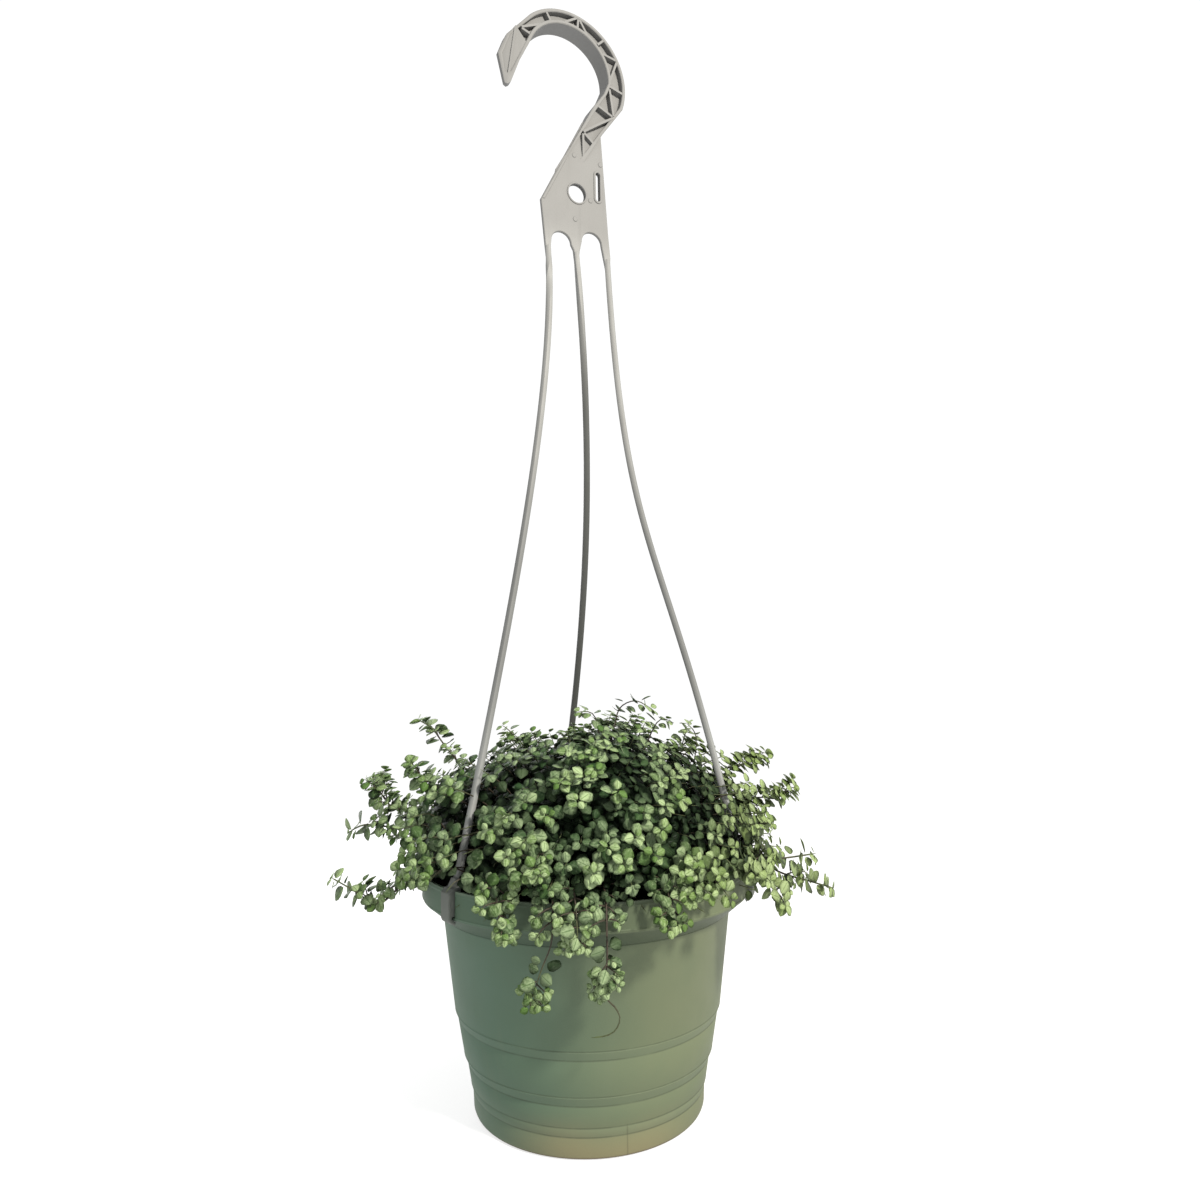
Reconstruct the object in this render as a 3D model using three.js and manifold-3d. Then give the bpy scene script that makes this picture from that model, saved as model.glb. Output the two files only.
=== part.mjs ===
// A small-leaved trailing pilea in a plastic hanging pot, with the pot's one-piece moulded hanger.
// Millimetres, +Z up, origin at the centre of the pot's base. The pot's front faces -Y, and the
// hanger's plate is turned about Z, its left edge towards the front.

import * as THREE from "three";
import { mergeVertices } from "three/addons/utils/BufferGeometryUtils.js";
import Module from "manifold-3d";

const wasm = await Module();
wasm.setup();

// ---------------------------------------------------------------- driving dimensions

const GAP = 0.3; // clearance between two separate pieces
const BIG = 400; // longer than anything that is cut

// Pot: a 165 mm collar on a tapered body.
const RIM_R = 83;
const RIM_TOP = 116.7;
const COLLAR_R = 82.5;
const COLLAR_Z = 104.7;
const NECK_R = 72.5;
const NECK_Z = 95.7;
const FOOT_R = 57.1;
const FOOT_ROUND = 3;
const WALL = 1.6;
const FLOOR = 2.6;
const POT_SIDES = 24;
// Each moulded step in the body: the radius and height above and below its short slope.
const BODY_STEPS = [
  { below: [57.5, 10.0], above: [58.6, 14.4] },
  { below: [60.2, 24.3], above: [62.0, 28.9] },
  { below: [64.8, 45.5], above: [66.3, 49.9] },
];
const DRAIN_HOLES = 6;
const DRAIN_HOLE_R = 4;
const DRAIN_RING_R = 30;
const FOOT_GROOVE = { inner: 21, outer: 39, deep: 1 };

// Ears: three notches in the collar, a third of a turn apart.
const EAR_ANGLES = [222, 342, 102];
const NOTCH_W = 9;
const NOTCH_Z = 105;

// Hanger.
const PLATE_TURN = 28;
const HOOK_DEEP = 10.5;
const PLATE_THICK = 2.6;
const WEB = 2.2;
const BORDER = 1.9;
const RIB = 1.3;
const HOOK_OUTER = { x: -5.1, z: 534.8, r: 34 };
const HOOK_INNER = { x: -5.9, z: 536.8, r: 24 };
const SHANK_THICK_Z = 511; // the shank is as deep as the hook above this height,
const SHANK_THIN_Z = 489; // and as thin as the plate below this one
const PLATE_HOLE = { x: -0.3, z: 470, r: 5.2 };
const PLATE_SLOT = { x: 12.6, low: 470, high: 483.6, r: 1.3, lip: 2.2 };
// The two arches under the plate, and the two sides of each strap's top, along the plate's width.
const ARCHES = [
  { x: -10, z: 440.6, r: 5.9 },
  { x: 8.5, z: 444, r: 6.1 },
];
const STRAP_TOPS = [
  [-19.6, -15.8],
  [-2.7, 1.1],
  [16.4, 20.2],
];
const STRAP_TOP_Z = 437;
const STRAP_R = 1.85;
const STRAP_STEPS = 13;
const STRAP_END_R = 79.8;
const STRAP_END_Z = 114;
// Each strap is one cubic curve. Its two handles are given as the share of the way out to the ear,
// the share of the height that is left, and the sideways bow in mm.
const STRAPS = [
  { top: -17.6, ear: 222, upper: [-0.06, 0.76, 2.7], lower: [0.51, 0.33, -1.7] },
  { top: 18.4, ear: 342, upper: [0.11, 0.47, 2.0], lower: [0.44, 0.54, -0.7] },
  { top: -0.8, ear: 102, upper: [0, 0.62, -8.9], lower: [0.45, 0.4, -11.3] },
];
const TAB_W = 6.6;
const TAB_OUT = 84.9;
const TAB_IN = 78.2;
const HEAD_W = 11;
const HEAD_OUT = 79.7;

// Soil.
const SOIL_R = 73.7;
const SOIL_EDGE_Z = 100;
const SOIL_MID_Z = 103;
const HOLE_DEEP = 11;
const HOLE_R = 1.7;

// Leaves and stems.
const BLADE_THICK = 0.6;
const ROSETTE_LONG = 8.6;
const LEAF_LONG = 9.4;
const WHORL_STEP = 10;
const TIP_TURN = 4;
const STEM_R = 1;
const BRANCH_R = 0.85;
const MOUND_MID_Z = 110; // the mound of leaves is a superellipsoid about this height
const MOUND_WIDE = 99;
const MOUND_TALL = 84;
const MOUND_SQUARE = 2.6;
const RIM_SHOOTS = 9;
const RIM_ROOTS_R = 66;
// The dense middle of the mound, well inside the leaves: radius and height, from its foot up.
const CORE = [[46, 106], [55, 115], [57, 128], [57, 146], [51, 160], [40, 172], [24, 182], [8, 186]];
const CORE_SIDES = 21;
const CORE_ROUGH = 5.5; // how far its surface is pushed in and out
const MIDDLE_R = 19.5;
const SECTORS = 7;
const SECTOR_R = 22.8;
const SECTOR_GAP = 0.6;

// ---------------------------------------------------------------- solids

const UP = new THREE.Vector3(0, 0, 1);
const degrees = (turn) => (turn * Math.PI) / 180;

// The solid inside a closed surface.
function solid(geometry) {
  const bare = geometry.clone();
  bare.deleteAttribute("normal");
  bare.deleteAttribute("uv");
  const merged = mergeVertices(bare, 1e-4);
  return new wasm.Manifold(
    new wasm.Mesh({
      numProp: 3,
      vertProperties: new Float32Array(merged.attributes.position.array),
      triVerts: new Uint32Array(merged.index.array),
    }),
  );
}

// A finished solid as a named mesh.
function node(name, body, material) {
  const made = body.getMesh();
  const geometry = new THREE.BufferGeometry();
  geometry.setAttribute("position", new THREE.BufferAttribute(made.vertProperties, made.numProp));
  geometry.setIndex(new THREE.BufferAttribute(made.triVerts, 1));
  geometry.computeVertexNormals();
  const mesh = new THREE.Mesh(geometry, material);
  mesh.name = name;
  return mesh;
}

// A profile of [radius, height] points turned about +Z.
function turned(profile, sides) {
  const points = profile.map(([r, z]) => new THREE.Vector2(r, z));
  return new THREE.LatheGeometry(points, sides).rotateX(Math.PI / 2);
}

// A box between two corners.
function box(low, high) {
  const size = high.map((v, k) => v - low[k]);
  const middle = high.map((v, k) => (v + low[k]) / 2);
  return new THREE.BoxGeometry(...size).translate(...middle);
}

// An upright cylinder that starts at z and is as tall as deep.
function upright(x, y, z, r, deep, sides) {
  return new THREE.CylinderGeometry(r, r, deep, sides).rotateX(Math.PI / 2).translate(x, y, z + deep / 2);
}

const joined = (parts) => parts.reduce((sum, part) => sum.add(part));

// ---------------------------------------------------------------- pot

function pot() {
  const foot = [0, 45, 90].map((turn) => {
    const a = degrees(turn);
    return [FOOT_R - FOOT_ROUND * (1 - Math.sin(a)), FOOT_ROUND * (1 - Math.cos(a))];
  });
  const body = BODY_STEPS.flatMap(({ below, above }) => [below, above]);
  const lip = WALL * 0.3;
  const outside = [
    [0, 0],
    ...foot,
    ...body,
    [NECK_R, NECK_Z],
    [COLLAR_R, COLLAR_Z],
    [RIM_R, RIM_TOP - lip],
    [RIM_R - lip, RIM_TOP],
  ];
  const shoulder = WALL * 0.7; // how far the sloping shoulder's inner face lies in and up
  const inside = [
    [RIM_R - WALL, RIM_TOP],
    [COLLAR_R - WALL, COLLAR_Z + shoulder],
    [NECK_R - WALL, NECK_Z + shoulder],
    ...[...BODY_STEPS].reverse().map(({ below }) => [below[0] - WALL, below[1]]),
    [FOOT_R - WALL - 1, FLOOR],
    [0, FLOOR],
  ];
  const { inner, outer, deep } = FOOT_GROOVE;
  const groove = turned([[inner, -1], [outer, -1], [outer, deep], [inner, deep], [inner, -1]], POT_SIDES);
  const drains = [];
  for (let k = 0; k < DRAIN_HOLES; k += 1) {
    const a = degrees((360 * (k + 0.5)) / DRAIN_HOLES);
    drains.push(upright(DRAIN_RING_R * Math.cos(a), DRAIN_RING_R * Math.sin(a), -1, DRAIN_HOLE_R, 6, 12));
  }
  const notches = EAR_ANGLES.map((turn) =>
    box([79, -NOTCH_W / 2, NOTCH_Z], [90, NOTCH_W / 2, RIM_TOP + 1]).rotateZ(degrees(turn)),
  );
  return [groove, ...drains, ...notches].reduce(
    (shell, cut) => shell.subtract(solid(cut)),
    solid(turned([...outside, ...inside], POT_SIDES)),
  );
}

// ---------------------------------------------------------------- hanger

// The hook and the plate are drawn in the plate's own plane: x along its width, y up, and the
// outline is thickened both ways from the middle.
function slab(shape, thick, steps = 5) {
  const made = new THREE.ExtrudeGeometry(shape, { depth: thick, bevelEnabled: false, curveSegments: steps });
  return made.translate(0, 0, -thick / 2);
}

const HOOK_TIP = [-40.6, 518.8];
const NOSE = [-45.8, 534.6];
const NOSE_INSIDE = [-34.6, 532.5];
const BROW = [-41.7, 544.8]; // where the outer arc ends and the nose begins
const PLATE_LEFT = [-21.8, 461.8];

const SHANK_FRONT = [
  [15.2, 529],
  [8.6, 519.5],
  [-6, 491.5],
];
const SHANK_BACK = [
  [14, 491.5],
  [14, 505],
];
// The plate's right edge, upwards from its strap to where it runs into the shank.
const PLATE_RIGHT = [
  [18.9, 450.6],
  [17.2, 476],
  [14.6, 503],
  [4, 512],
];

// The nose is solid and faceted. Its half depth falls away on both sides of a ridge that starts at
// this point of the border: the slope of each facet across and up the plate's plane.
const RIDGE = [-37, 551];
const NOSE_FACETS = [
  [0.311, 0.0772],
  [0.134, 0.0993],
];

// The hook's outline, pulled in by a border: nose, outer arc, shank, and back up the inner arc.
function hookOutline(inset) {
  const { x, z, r } = HOOK_OUTER;
  const inner = HOOK_INNER;
  const shape = new THREE.Shape();
  shape.moveTo(HOOK_TIP[0] + 1.6, HOOK_TIP[1] + 1.3 + inset * 3);
  shape.lineTo(NOSE_INSIDE[0] - inset * 0.8, NOSE_INSIDE[1]);
  shape.absarc(inner.x, inner.z, inner.r + inset, degrees(158), degrees(-2), true);
  SHANK_FRONT.forEach(([px, pz], k) => shape.lineTo(px + inset, pz + inset * [0, -0.4, 2.6][k]));
  SHANK_BACK.forEach(([px, pz], k) => shape.lineTo(px - inset, pz + inset * [2.6, 0][k]));
  shape.absarc(x, z, r - inset, degrees(-20), degrees(134), false);
  shape.lineTo(BROW[0] + inset * 0.9, BROW[1]);
  shape.lineTo(NOSE[0] + inset * 1.1, NOSE[1]);
  shape.lineTo(HOOK_TIP[0] - 1.6, HOOK_TIP[1] + 0.5 + inset * 3);
  shape.lineTo(HOOK_TIP[0], HOOK_TIP[1] + inset * 3);
  return shape;
}

// What is cut off one side of the nose to make one facet: a block whose inner face is the facet.
function overFacet(side, [across, up]) {
  const reach = 20;
  const block = box([-60, 505, side > 0 ? 0 : -reach], [-20, 560, side > 0 ? reach : 0]);
  const p = block.attributes.position;
  for (let i = 0; i < p.count; i += 1) {
    const half = HOOK_DEEP / 2 + across * (p.getX(i) - RIDGE[0]) + up * (p.getY(i) - RIDGE[1]);
    if (p.getZ(i) === 0) p.setZ(i, side * half);
  }
  return solid(block);
}

// The part of the hook's outline that has no pockets: its nose, below a line across the border.
function noseBlock() {
  const shape = new THREE.Shape();
  shape.moveTo(-60, 500);
  shape.lineTo(-28, 500);
  shape.lineTo(-28, 541.5);
  shape.lineTo(RIDGE[0], RIDGE[1]);
  shape.lineTo(-60, RIDGE[1] + 2);
  return solid(slab(shape, HOOK_DEEP + 4));
}

// The truss: every rib runs between two points on the borders.
const TRUSS = [
  [RIDGE, [-29, 548]],
  [RIDGE, [-22, 556]],
  [[-20, 565], [-16.5, 558]],
  [[0, 568], [-8.5, 560]],
  [[0, 568], [-0.7, 559]],
  [[0, 568], [5.5, 558]],
  [[16.5, 561], [11.5, 556]],
  [[24.5, 551], [14.5, 552]],
  [[24.5, 551], [17, 537]],
  [[17, 534], [26, 532]],
  [[17, 534], [19, 518]],
  [[19, 518], [9, 522]],
  [[19, 518], [2, 504]],
  [[2, 504], [12, 498]],
  [[2, 504], [2.5, 488]],
];

function rib([[x0, y0], [x1, y1]]) {
  const long = Math.hypot(x1 - x0, y1 - y0);
  return new THREE.BoxGeometry(long + 2, RIB, HOOK_DEEP)
    .rotateZ(Math.atan2(y1 - y0, x1 - x0))
    .translate((x0 + x1) / 2, (y0 + y1) / 2, 0);
}

// The plate, with the two arches from which the three straps start.
function plateOutline() {
  const stub = STRAP_TOP_Z - 3;
  const shape = new THREE.Shape();
  shape.moveTo(...PLATE_LEFT);
  STRAP_TOPS.forEach(([left, right], k) => {
    shape.lineTo(left, stub);
    shape.lineTo(right, stub);
    const arch = ARCHES[k];
    if (arch) shape.absarc(arch.x, arch.z, arch.r, Math.PI, 0, true);
  });
  PLATE_RIGHT.forEach((point) => shape.lineTo(...point));
  const hole = new THREE.Path();
  hole.absarc(PLATE_HOLE.x, PLATE_HOLE.z, PLATE_HOLE.r, 0, Math.PI * 2, true);
  shape.holes.push(hole, slotOutline(new THREE.Path(), PLATE_SLOT.r));
  return shape;
}

function slotOutline(outline, r) {
  outline.absarc(PLATE_SLOT.x, PLATE_SLOT.high, r, 0, Math.PI, false);
  outline.absarc(PLATE_SLOT.x, PLATE_SLOT.low, r, Math.PI, Math.PI * 2, false);
  return outline;
}

// A raised lip round the slot.
function slotLip() {
  const shape = slotOutline(new THREE.Shape(), PLATE_SLOT.lip);
  shape.holes.push(slotOutline(new THREE.Path(), PLATE_SLOT.r));
  return slab(shape, PLATE_THICK + 1, 3);
}

// One strap's centre line, from inside the plate to inside its tab.
function strapLine({ top, ear, upper, lower }) {
  const turn = degrees(PLATE_TURN);
  const start = new THREE.Vector3(top * Math.cos(turn), top * Math.sin(turn), STRAP_TOP_Z);
  const reach = degrees(ear);
  const end = new THREE.Vector3(STRAP_END_R * Math.cos(reach), STRAP_END_R * Math.sin(reach), STRAP_END_Z);
  const out = new THREE.Vector3(end.x - start.x, end.y - start.y, 0);
  const side = new THREE.Vector3(-out.y, out.x, 0).normalize();
  const handle = ([share, height, bow]) =>
    start
      .clone()
      .addScaledVector(out, share)
      .addScaledVector(side, bow)
      .setZ(STRAP_END_Z + (STRAP_TOP_Z - STRAP_END_Z) * height);
  return new THREE.CubicBezierCurve3(start, handle(upper), handle(lower), end);
}

// A regular section of n sides, for anything that is drawn out along a line.
function section(r, n) {
  const shape = new THREE.Shape();
  for (let k = 0; k < n; k += 1) {
    const a = (2 * Math.PI * (k + 0.5)) / n;
    if (k === 0) shape.moveTo(r * Math.cos(a), r * Math.sin(a));
    else shape.lineTo(r * Math.cos(a), r * Math.sin(a));
  }
  return shape;
}

function drawn(line, r, sides, steps) {
  return new THREE.ExtrudeGeometry(section(r, sides), { extrudePath: line, steps, bevelEnabled: false });
}

// A line of straight stretches, so that a stem drawn along it turns exactly at its points.
class Stretches extends THREE.Curve {
  constructor(points) {
    super();
    this.points = points;
  }
  getPoint(t) {
    const last = this.points.length - 1;
    const k = Math.min(Math.floor(t * last), last - 1);
    return this.points[k].clone().lerp(this.points[k + 1], t * last - k);
  }
  getPointAt(u) {
    return this.getPoint(u);
  }
  getTangentAt(u) {
    return this.getTangent(u);
  }
}

// A strap's end: a block in the notch, a wider head behind the collar, and a foot that follows the
// shoulder's slope. Drawn in the plane of radius and height, and turned to its ear.
function strapEnd(turn) {
  const block = new THREE.Shape();
  const low = NOTCH_Z + GAP;
  block.moveTo(TAB_IN, RIM_TOP + 1.6);
  block.lineTo(TAB_IN, low);
  block.lineTo(COLLAR_R + 0.5, low);
  block.lineTo(COLLAR_R + 0.5, COLLAR_Z - 0.4);
  block.lineTo(79, COLLAR_Z - 3.5);
  block.lineTo(79.6, COLLAR_Z - 5);
  block.lineTo(TAB_OUT - 0.6, COLLAR_Z - 1.4);
  block.lineTo(TAB_OUT, COLLAR_Z);
  block.lineTo(TAB_OUT, RIM_TOP - 0.8);
  block.lineTo(TAB_OUT - 1.8, RIM_TOP + 1);
  const tab = slab(block, TAB_W).rotateX(Math.PI / 2);
  const head = box([TAB_IN, -HEAD_W / 2, low + 1], [HEAD_OUT, HEAD_W / 2, RIM_TOP - 2]);
  return joined([tab, head].map((part) => solid(part.rotateZ(degrees(turn)))));
}

function hanger() {
  const hook = solid(slab(hookOutline(0), HOOK_DEEP));
  const ribs = joined(TRUSS.map((ends) => solid(rib(ends))));
  const web = solid(box([-BIG, 0, -WEB / 2], [BIG, BIG * 2, WEB / 2]));
  const frame = solid(slab(hookOutline(BORDER), HOOK_DEEP + 2));
  const pockets = [ribs, web, noseBlock()].reduce((left, cut) => left.subtract(cut), frame);
  const facets = [-1, 1].flatMap((side) => NOSE_FACETS.map((slopes) => overFacet(side, slopes)));
  const thinning = [-1, 1].map((face) => {
    const wedge = new THREE.Shape();
    wedge.moveTo(PLATE_THICK / 2, SHANK_THIN_Z);
    wedge.lineTo(PLATE_THICK / 2, 400);
    wedge.lineTo(30, 400);
    wedge.lineTo(30, SHANK_THICK_Z);
    wedge.lineTo(HOOK_DEEP / 2 + 0.6, SHANK_THICK_Z);
    const made = new THREE.ExtrudeGeometry(wedge, { depth: 120, bevelEnabled: false });
    return solid(made.translate(0, 0, -60).rotateY((-face * Math.PI) / 2));
  });
  const truss = [pockets, ...thinning, ...facets].reduce((left, cut) => left.subtract(cut), hook);
  const plate = solid(slab(plateOutline(), PLATE_THICK));
  const slot = solid(slotLip());
  const standing = truss.add(plate).add(slot).getMesh();
  const upper = new THREE.BufferGeometry();
  upper.setAttribute("position", new THREE.BufferAttribute(standing.vertProperties, 3));
  upper.setIndex(new THREE.BufferAttribute(standing.triVerts, 1));
  upper.rotateX(Math.PI / 2).rotateZ(degrees(PLATE_TURN));
  const straps = STRAPS.map((strap) => solid(drawn(strapLine(strap), STRAP_R, 6, STRAP_STEPS)));
  const ends = EAR_ANGLES.map(strapEnd);
  return joined([solid(upper), ...straps, ...ends]);
}

// ---------------------------------------------------------------- soil

function soilTop(r) {
  return SOIL_MID_Z - (SOIL_MID_Z - SOIL_EDGE_Z) * (r / SOIL_R) ** 2;
}

function soilPlug() {
  const slack = WALL + GAP + 0.2;
  const shoulder = WALL * 0.7;
  const side = BODY_STEPS.map(({ below }) => [below[0] - slack, below[1]]);
  return turned(
    [
      [0, FLOOR + GAP],
      [FOOT_R - slack - 1, FLOOR + GAP],
      ...side,
      [NECK_R - slack, NECK_Z + shoulder],
      [SOIL_R, SOIL_EDGE_Z],
      [SOIL_R * 0.6, soilTop(SOIL_R * 0.6)],
      [0, SOIL_MID_Z],
    ],
    POT_SIDES,
  );
}

// ---------------------------------------------------------------- leafy stems

// An evenly spread number between 0 and 1 for each count, in four independent series.
const SERIES = [0.618034, 0.754878, 0.56984, 0.819173];
const spread = (count, series) => (0.5 + count * SERIES[series]) % 1;

// The outline of the four leaves that grow from one point of the stem, as one flat blade.
function leaves(long) {
  const shape = new THREE.Shape();
  const half = Math.PI / 4;
  const neck = 1.4;
  for (let k = 0; k < 4; k += 1) {
    const a = 2 * half * k;
    const size = k % 2 === 0 ? long : long * 0.86;
    const at = (along, across) => [
      size * (along * Math.cos(a) - across * Math.sin(a)),
      size * (along * Math.sin(a) + across * Math.cos(a)),
    ];
    if (k === 0) shape.moveTo(neck * Math.cos(a - half), neck * Math.sin(a - half));
    else shape.lineTo(neck * Math.cos(a - half), neck * Math.sin(a - half));
    shape.lineTo(...at(0.44, -0.4));
    shape.lineTo(...at(0.92, -0.24));
    shape.lineTo(...at(0.92, 0.24));
    shape.lineTo(...at(0.44, 0.4));
  }
  return shape;
}

// Leaves in place: the blade bends up or down with the square of the distance from the stem.
function whorl({ long, cup }, frame, grow = 0) {
  const blade = slab(leaves(long + grow), BLADE_THICK + 2 * grow, 1);
  const p = blade.attributes.position;
  for (let i = 0; i < p.count; i += 1) {
    const d2 = p.getX(i) ** 2 + p.getY(i) ** 2;
    p.setZ(i, p.getZ(i) + cup * d2);
  }
  return solid(blade.applyMatrix4(frame));
}

// The point that lies a distance back from the tip of a stem, and the stem's direction there.
function backFrom(points, back) {
  let left = back;
  for (let k = points.length - 1; k > 0; k -= 1) {
    const step = points[k].clone().sub(points[k - 1]);
    const long = step.length();
    const along = step.normalize();
    if (left <= long || k === 1) return { at: points[k].clone().addScaledVector(along, -left), along };
    left -= long;
  }
  return null;
}

// Where leaves sit on a stem: square to it but tipped towards the light, and turned about it.
function leafFrame(points, back, turn) {
  const { at, along } = backFrom(points, back);
  const normal = back === 0 ? along : along.clone().addScaledVector(UP, 0.7).normalize();
  const level = new THREE.Vector3().crossVectors(along, UP);
  if (level.length() < 0.2) level.set(1, 0, 0);
  level.addScaledVector(normal, -level.dot(normal)).normalize();
  const other = new THREE.Vector3().crossVectors(normal, level);
  const c = Math.cos(turn);
  const s = Math.sin(turn);
  const x = level.clone().multiplyScalar(c).addScaledVector(other, s);
  const y = other.clone().multiplyScalar(c).addScaledVector(level, -s);
  return new THREE.Matrix4().makeBasis(x, y, normal).setPosition(at);
}

// True when leaves lie above the soil or outside the collar.
function aboveSoil(body) {
  const { min, max } = body.boundingBox();
  const nearest = [0, 1].map((k) => Math.max(min[k], -max[k], 0));
  return min[2] > SOIL_MID_Z + GAP || Math.hypot(...nearest) > RIM_R;
}

// True when a body stays clear of every finished piece.
const finished = [];
function clear(body) {
  const { min, max } = body.boundingBox();
  return finished.every(({ low, high, body: other }) => {
    const apart = [0, 1, 2].some((k) => min[k] > high[k] || max[k] < low[k]);
    return apart || body.intersect(other).isEmpty();
  });
}
function finish(body) {
  const { min, max } = body.boundingBox();
  finished.push({ low: min, high: max, body });
}

// A stem whose last few millimetres turn up and outwards, so that its tip faces the light.
function turnedUp(points) {
  const tip = points[points.length - 1];
  const along = tip.clone().sub(points[points.length - 2]).normalize();
  const outward = new THREE.Vector3(tip.x, tip.y, 0).normalize();
  const faced = along.addScaledVector(outward, 0.7).addScaledVector(UP, 0.7).normalize();
  return [...points.slice(0, -1), tip.clone().addScaledVector(faced, -TIP_TURN), tip];
}

// One shoot: a stem along its points, with its leaves where they clear everything else. Leaves
// that don't are turned an eighth of a turn, and after four tries they are left off.
function shoot(through, r, whorls) {
  const points = turnedUp(through);
  const line = new Stretches(points);
  const tube = solid(drawn(line, r, 3, points.length - 1));
  if (!clear(solid(drawn(line, r + GAP, 3, points.length - 1)))) return null;
  const parts = [tube];
  for (const leaf of whorls) {
    for (let tries = 0; tries < 4; tries += 1) {
      const frame = leafFrame(points, leaf.back, leaf.turn + (tries * Math.PI) / 4);
      const room = whorl(leaf, frame, GAP);
      if (aboveSoil(room) && clear(room)) {
        parts.push(whorl(leaf, frame));
        break;
      }
    }
  }
  return parts;
}

// The leaves of a shoot: a rosette of four at its tip, and where there is room larger ones below.
function foliage(count, whorls) {
  const start = spread(count, 0) * Math.PI;
  const rosette = { back: 0, long: ROSETTE_LONG, turn: start, cup: 0.01 };
  const lower = { back: WHORL_STEP, long: LEAF_LONG, turn: start + Math.PI / 4, cup: -0.012 };
  return whorls === 2 ? [rosette, lower] : [rosette];
}

// A stem's root stands upright in the soil, so it starts with two points over each other.
function rooted(x, y, points) {
  const top = soilTop(Math.hypot(x, y));
  const all = [[x, y, top - HOLE_DEEP + GAP], [x, y, top + 2], ...points];
  return all.map((p) => new THREE.Vector3(...p));
}

// Long and trailing shoots, each from its root in the soil to its tip.
const LONG_SHOOTS = [
  {
    name: "shoot_left_low",
    root: [-62, -24],
    through: [
      [-77, -30, 122],
      [-85, -28, 116],
      [-93, -26, 108],
      [-101, -24, 103],
      [-114, -22, 110],
      [-124, -20, 115],
    ],
  },
  {
    name: "shoot_left_middle",
    root: [-60, -10],
    through: [
      [-72, -15, 135],
      [-83, -14, 138],
      [-96, -12, 137],
      [-110, -10, 138],
      [-119, -8, 134],
    ],
  },
  {
    name: "shoot_left_rising",
    root: [-62, 8],
    through: [
      [-78, 3, 133],
      [-87, 5, 140],
      [-99, 8, 143],
      [-106, 10, 149],
      [-109, 12, 156],
    ],
  },
  {
    name: "shoot_left_high",
    root: [-56, 24],
    through: [
      [-60, 24, 145],
      [-66, 25, 160],
      [-77, 25, 175],
      [-83, 25, 183],
      [-91, 25, 188],
    ],
  },
  {
    name: "shoot_left_upper",
    root: [-50, -36],
    through: [
      [-60, -29, 140],
      [-69, -30, 157],
      [-84, -30, 168],
    ],
  },
  {
    name: "shoot_right_middle",
    root: [62, 8],
    through: [
      [74, 9, 138],
      [84, 10, 144],
      [98, 10, 145],
      [109, 10, 147],
    ],
  },
  {
    name: "shoot_right_front",
    root: [60, -16],
    through: [
      [70, -18, 126],
      [77, -19, 134],
      [89, -20, 137],
    ],
  },
  {
    name: "shoot_right_level",
    root: [56, -30],
    through: [
      [66, -34, 118],
      [76, -36, 123],
      [92, -35, 123],
      [109, -35, 125],
    ],
  },
  {
    name: "shoot_right_low",
    root: [66, -6],
    through: [
      [80, -11, 123],
      [94, -16, 113],
      [110, -24, 109],
      [119, -28, 107],
    ],
  },
  {
    name: "shoot_right_fall",
    root: [53, -40],
    through: [
      [64, -44, 119],
      [77, -50, 121],
      [89, -55, 109],
    ],
  },
  {
    name: "shoot_right_upper",
    root: [56, 20],
    through: [
      [63, 20, 140],
      [74, 20, 155],
      [87, 20, 162],
      [96, 20, 163],
    ],
  },
  {
    name: "shoot_right_high",
    root: [42, 50],
    through: [
      [44, 42, 140],
      [46, 34, 162],
      [58, 30, 174],
    ],
  },
  {
    name: "shoot_front_left",
    root: [-32, -57],
    through: [
      [-36, -70, 121],
      [-38, -80, 124],
      [-36, -89, 116],
      [-33, -90, 105],
    ],
  },
  {
    name: "shoot_front_over",
    root: [-22, -59],
    through: [
      [-18, -68, 134],
      [-19, -84, 139],
      [-23, -92, 129],
    ],
  },
  {
    name: "shoot_front_hanging_left",
    root: [-17, -62],
    through: [
      [-15, -74, 121],
      [-14, -86, 118],
      [-14, -92, 109],
      [-15, -91, 102],
      [-19, -89, 92],
      [-23, -87, 80],
    ],
  },
  {
    name: "shoot_front_middle",
    root: [-6, -64],
    through: [
      [-6, -74, 122],
      [-5, -87, 122],
      [-4, -94, 112],
      [-4, -93, 102],
    ],
  },
  {
    name: "shoot_front_hanging_right",
    root: [6, -62],
    through: [
      [7, -74, 122],
      [8, -86, 118],
      [8, -92, 109],
      [8, -91, 97],
      [7, -88, 82],
      [10, -84, 70],
      [2, -82, 62],
    ],
    bare: 31,
  },
  {
    name: "shoot_front_right",
    root: [28, -58],
    through: [
      [31, -70, 121],
      [33, -80, 123],
      [35, -88, 116],
      [36, -89, 107],
    ],
  },
];

function longShoot({ root, through, bare = 0 }, count) {
  const whorls = foliage(count, 2).map((leaf) => ({ ...leaf, back: leaf.back + bare }));
  return shoot(rooted(...root, through), STEM_R, whorls);
}

// A point of the mound's outside, at a turn about Z and an angle above its middle.
function mound(turn, rise) {
  const c = Math.cos(rise);
  const s = Math.sin(rise);
  const n = MOUND_SQUARE;
  const reach = ((c / MOUND_WIDE) ** n + Math.abs(s / MOUND_TALL) ** n) ** (-1 / n);
  return [reach * c * Math.cos(turn), reach * c * Math.sin(turn), MOUND_MID_Z + reach * s];
}

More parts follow.
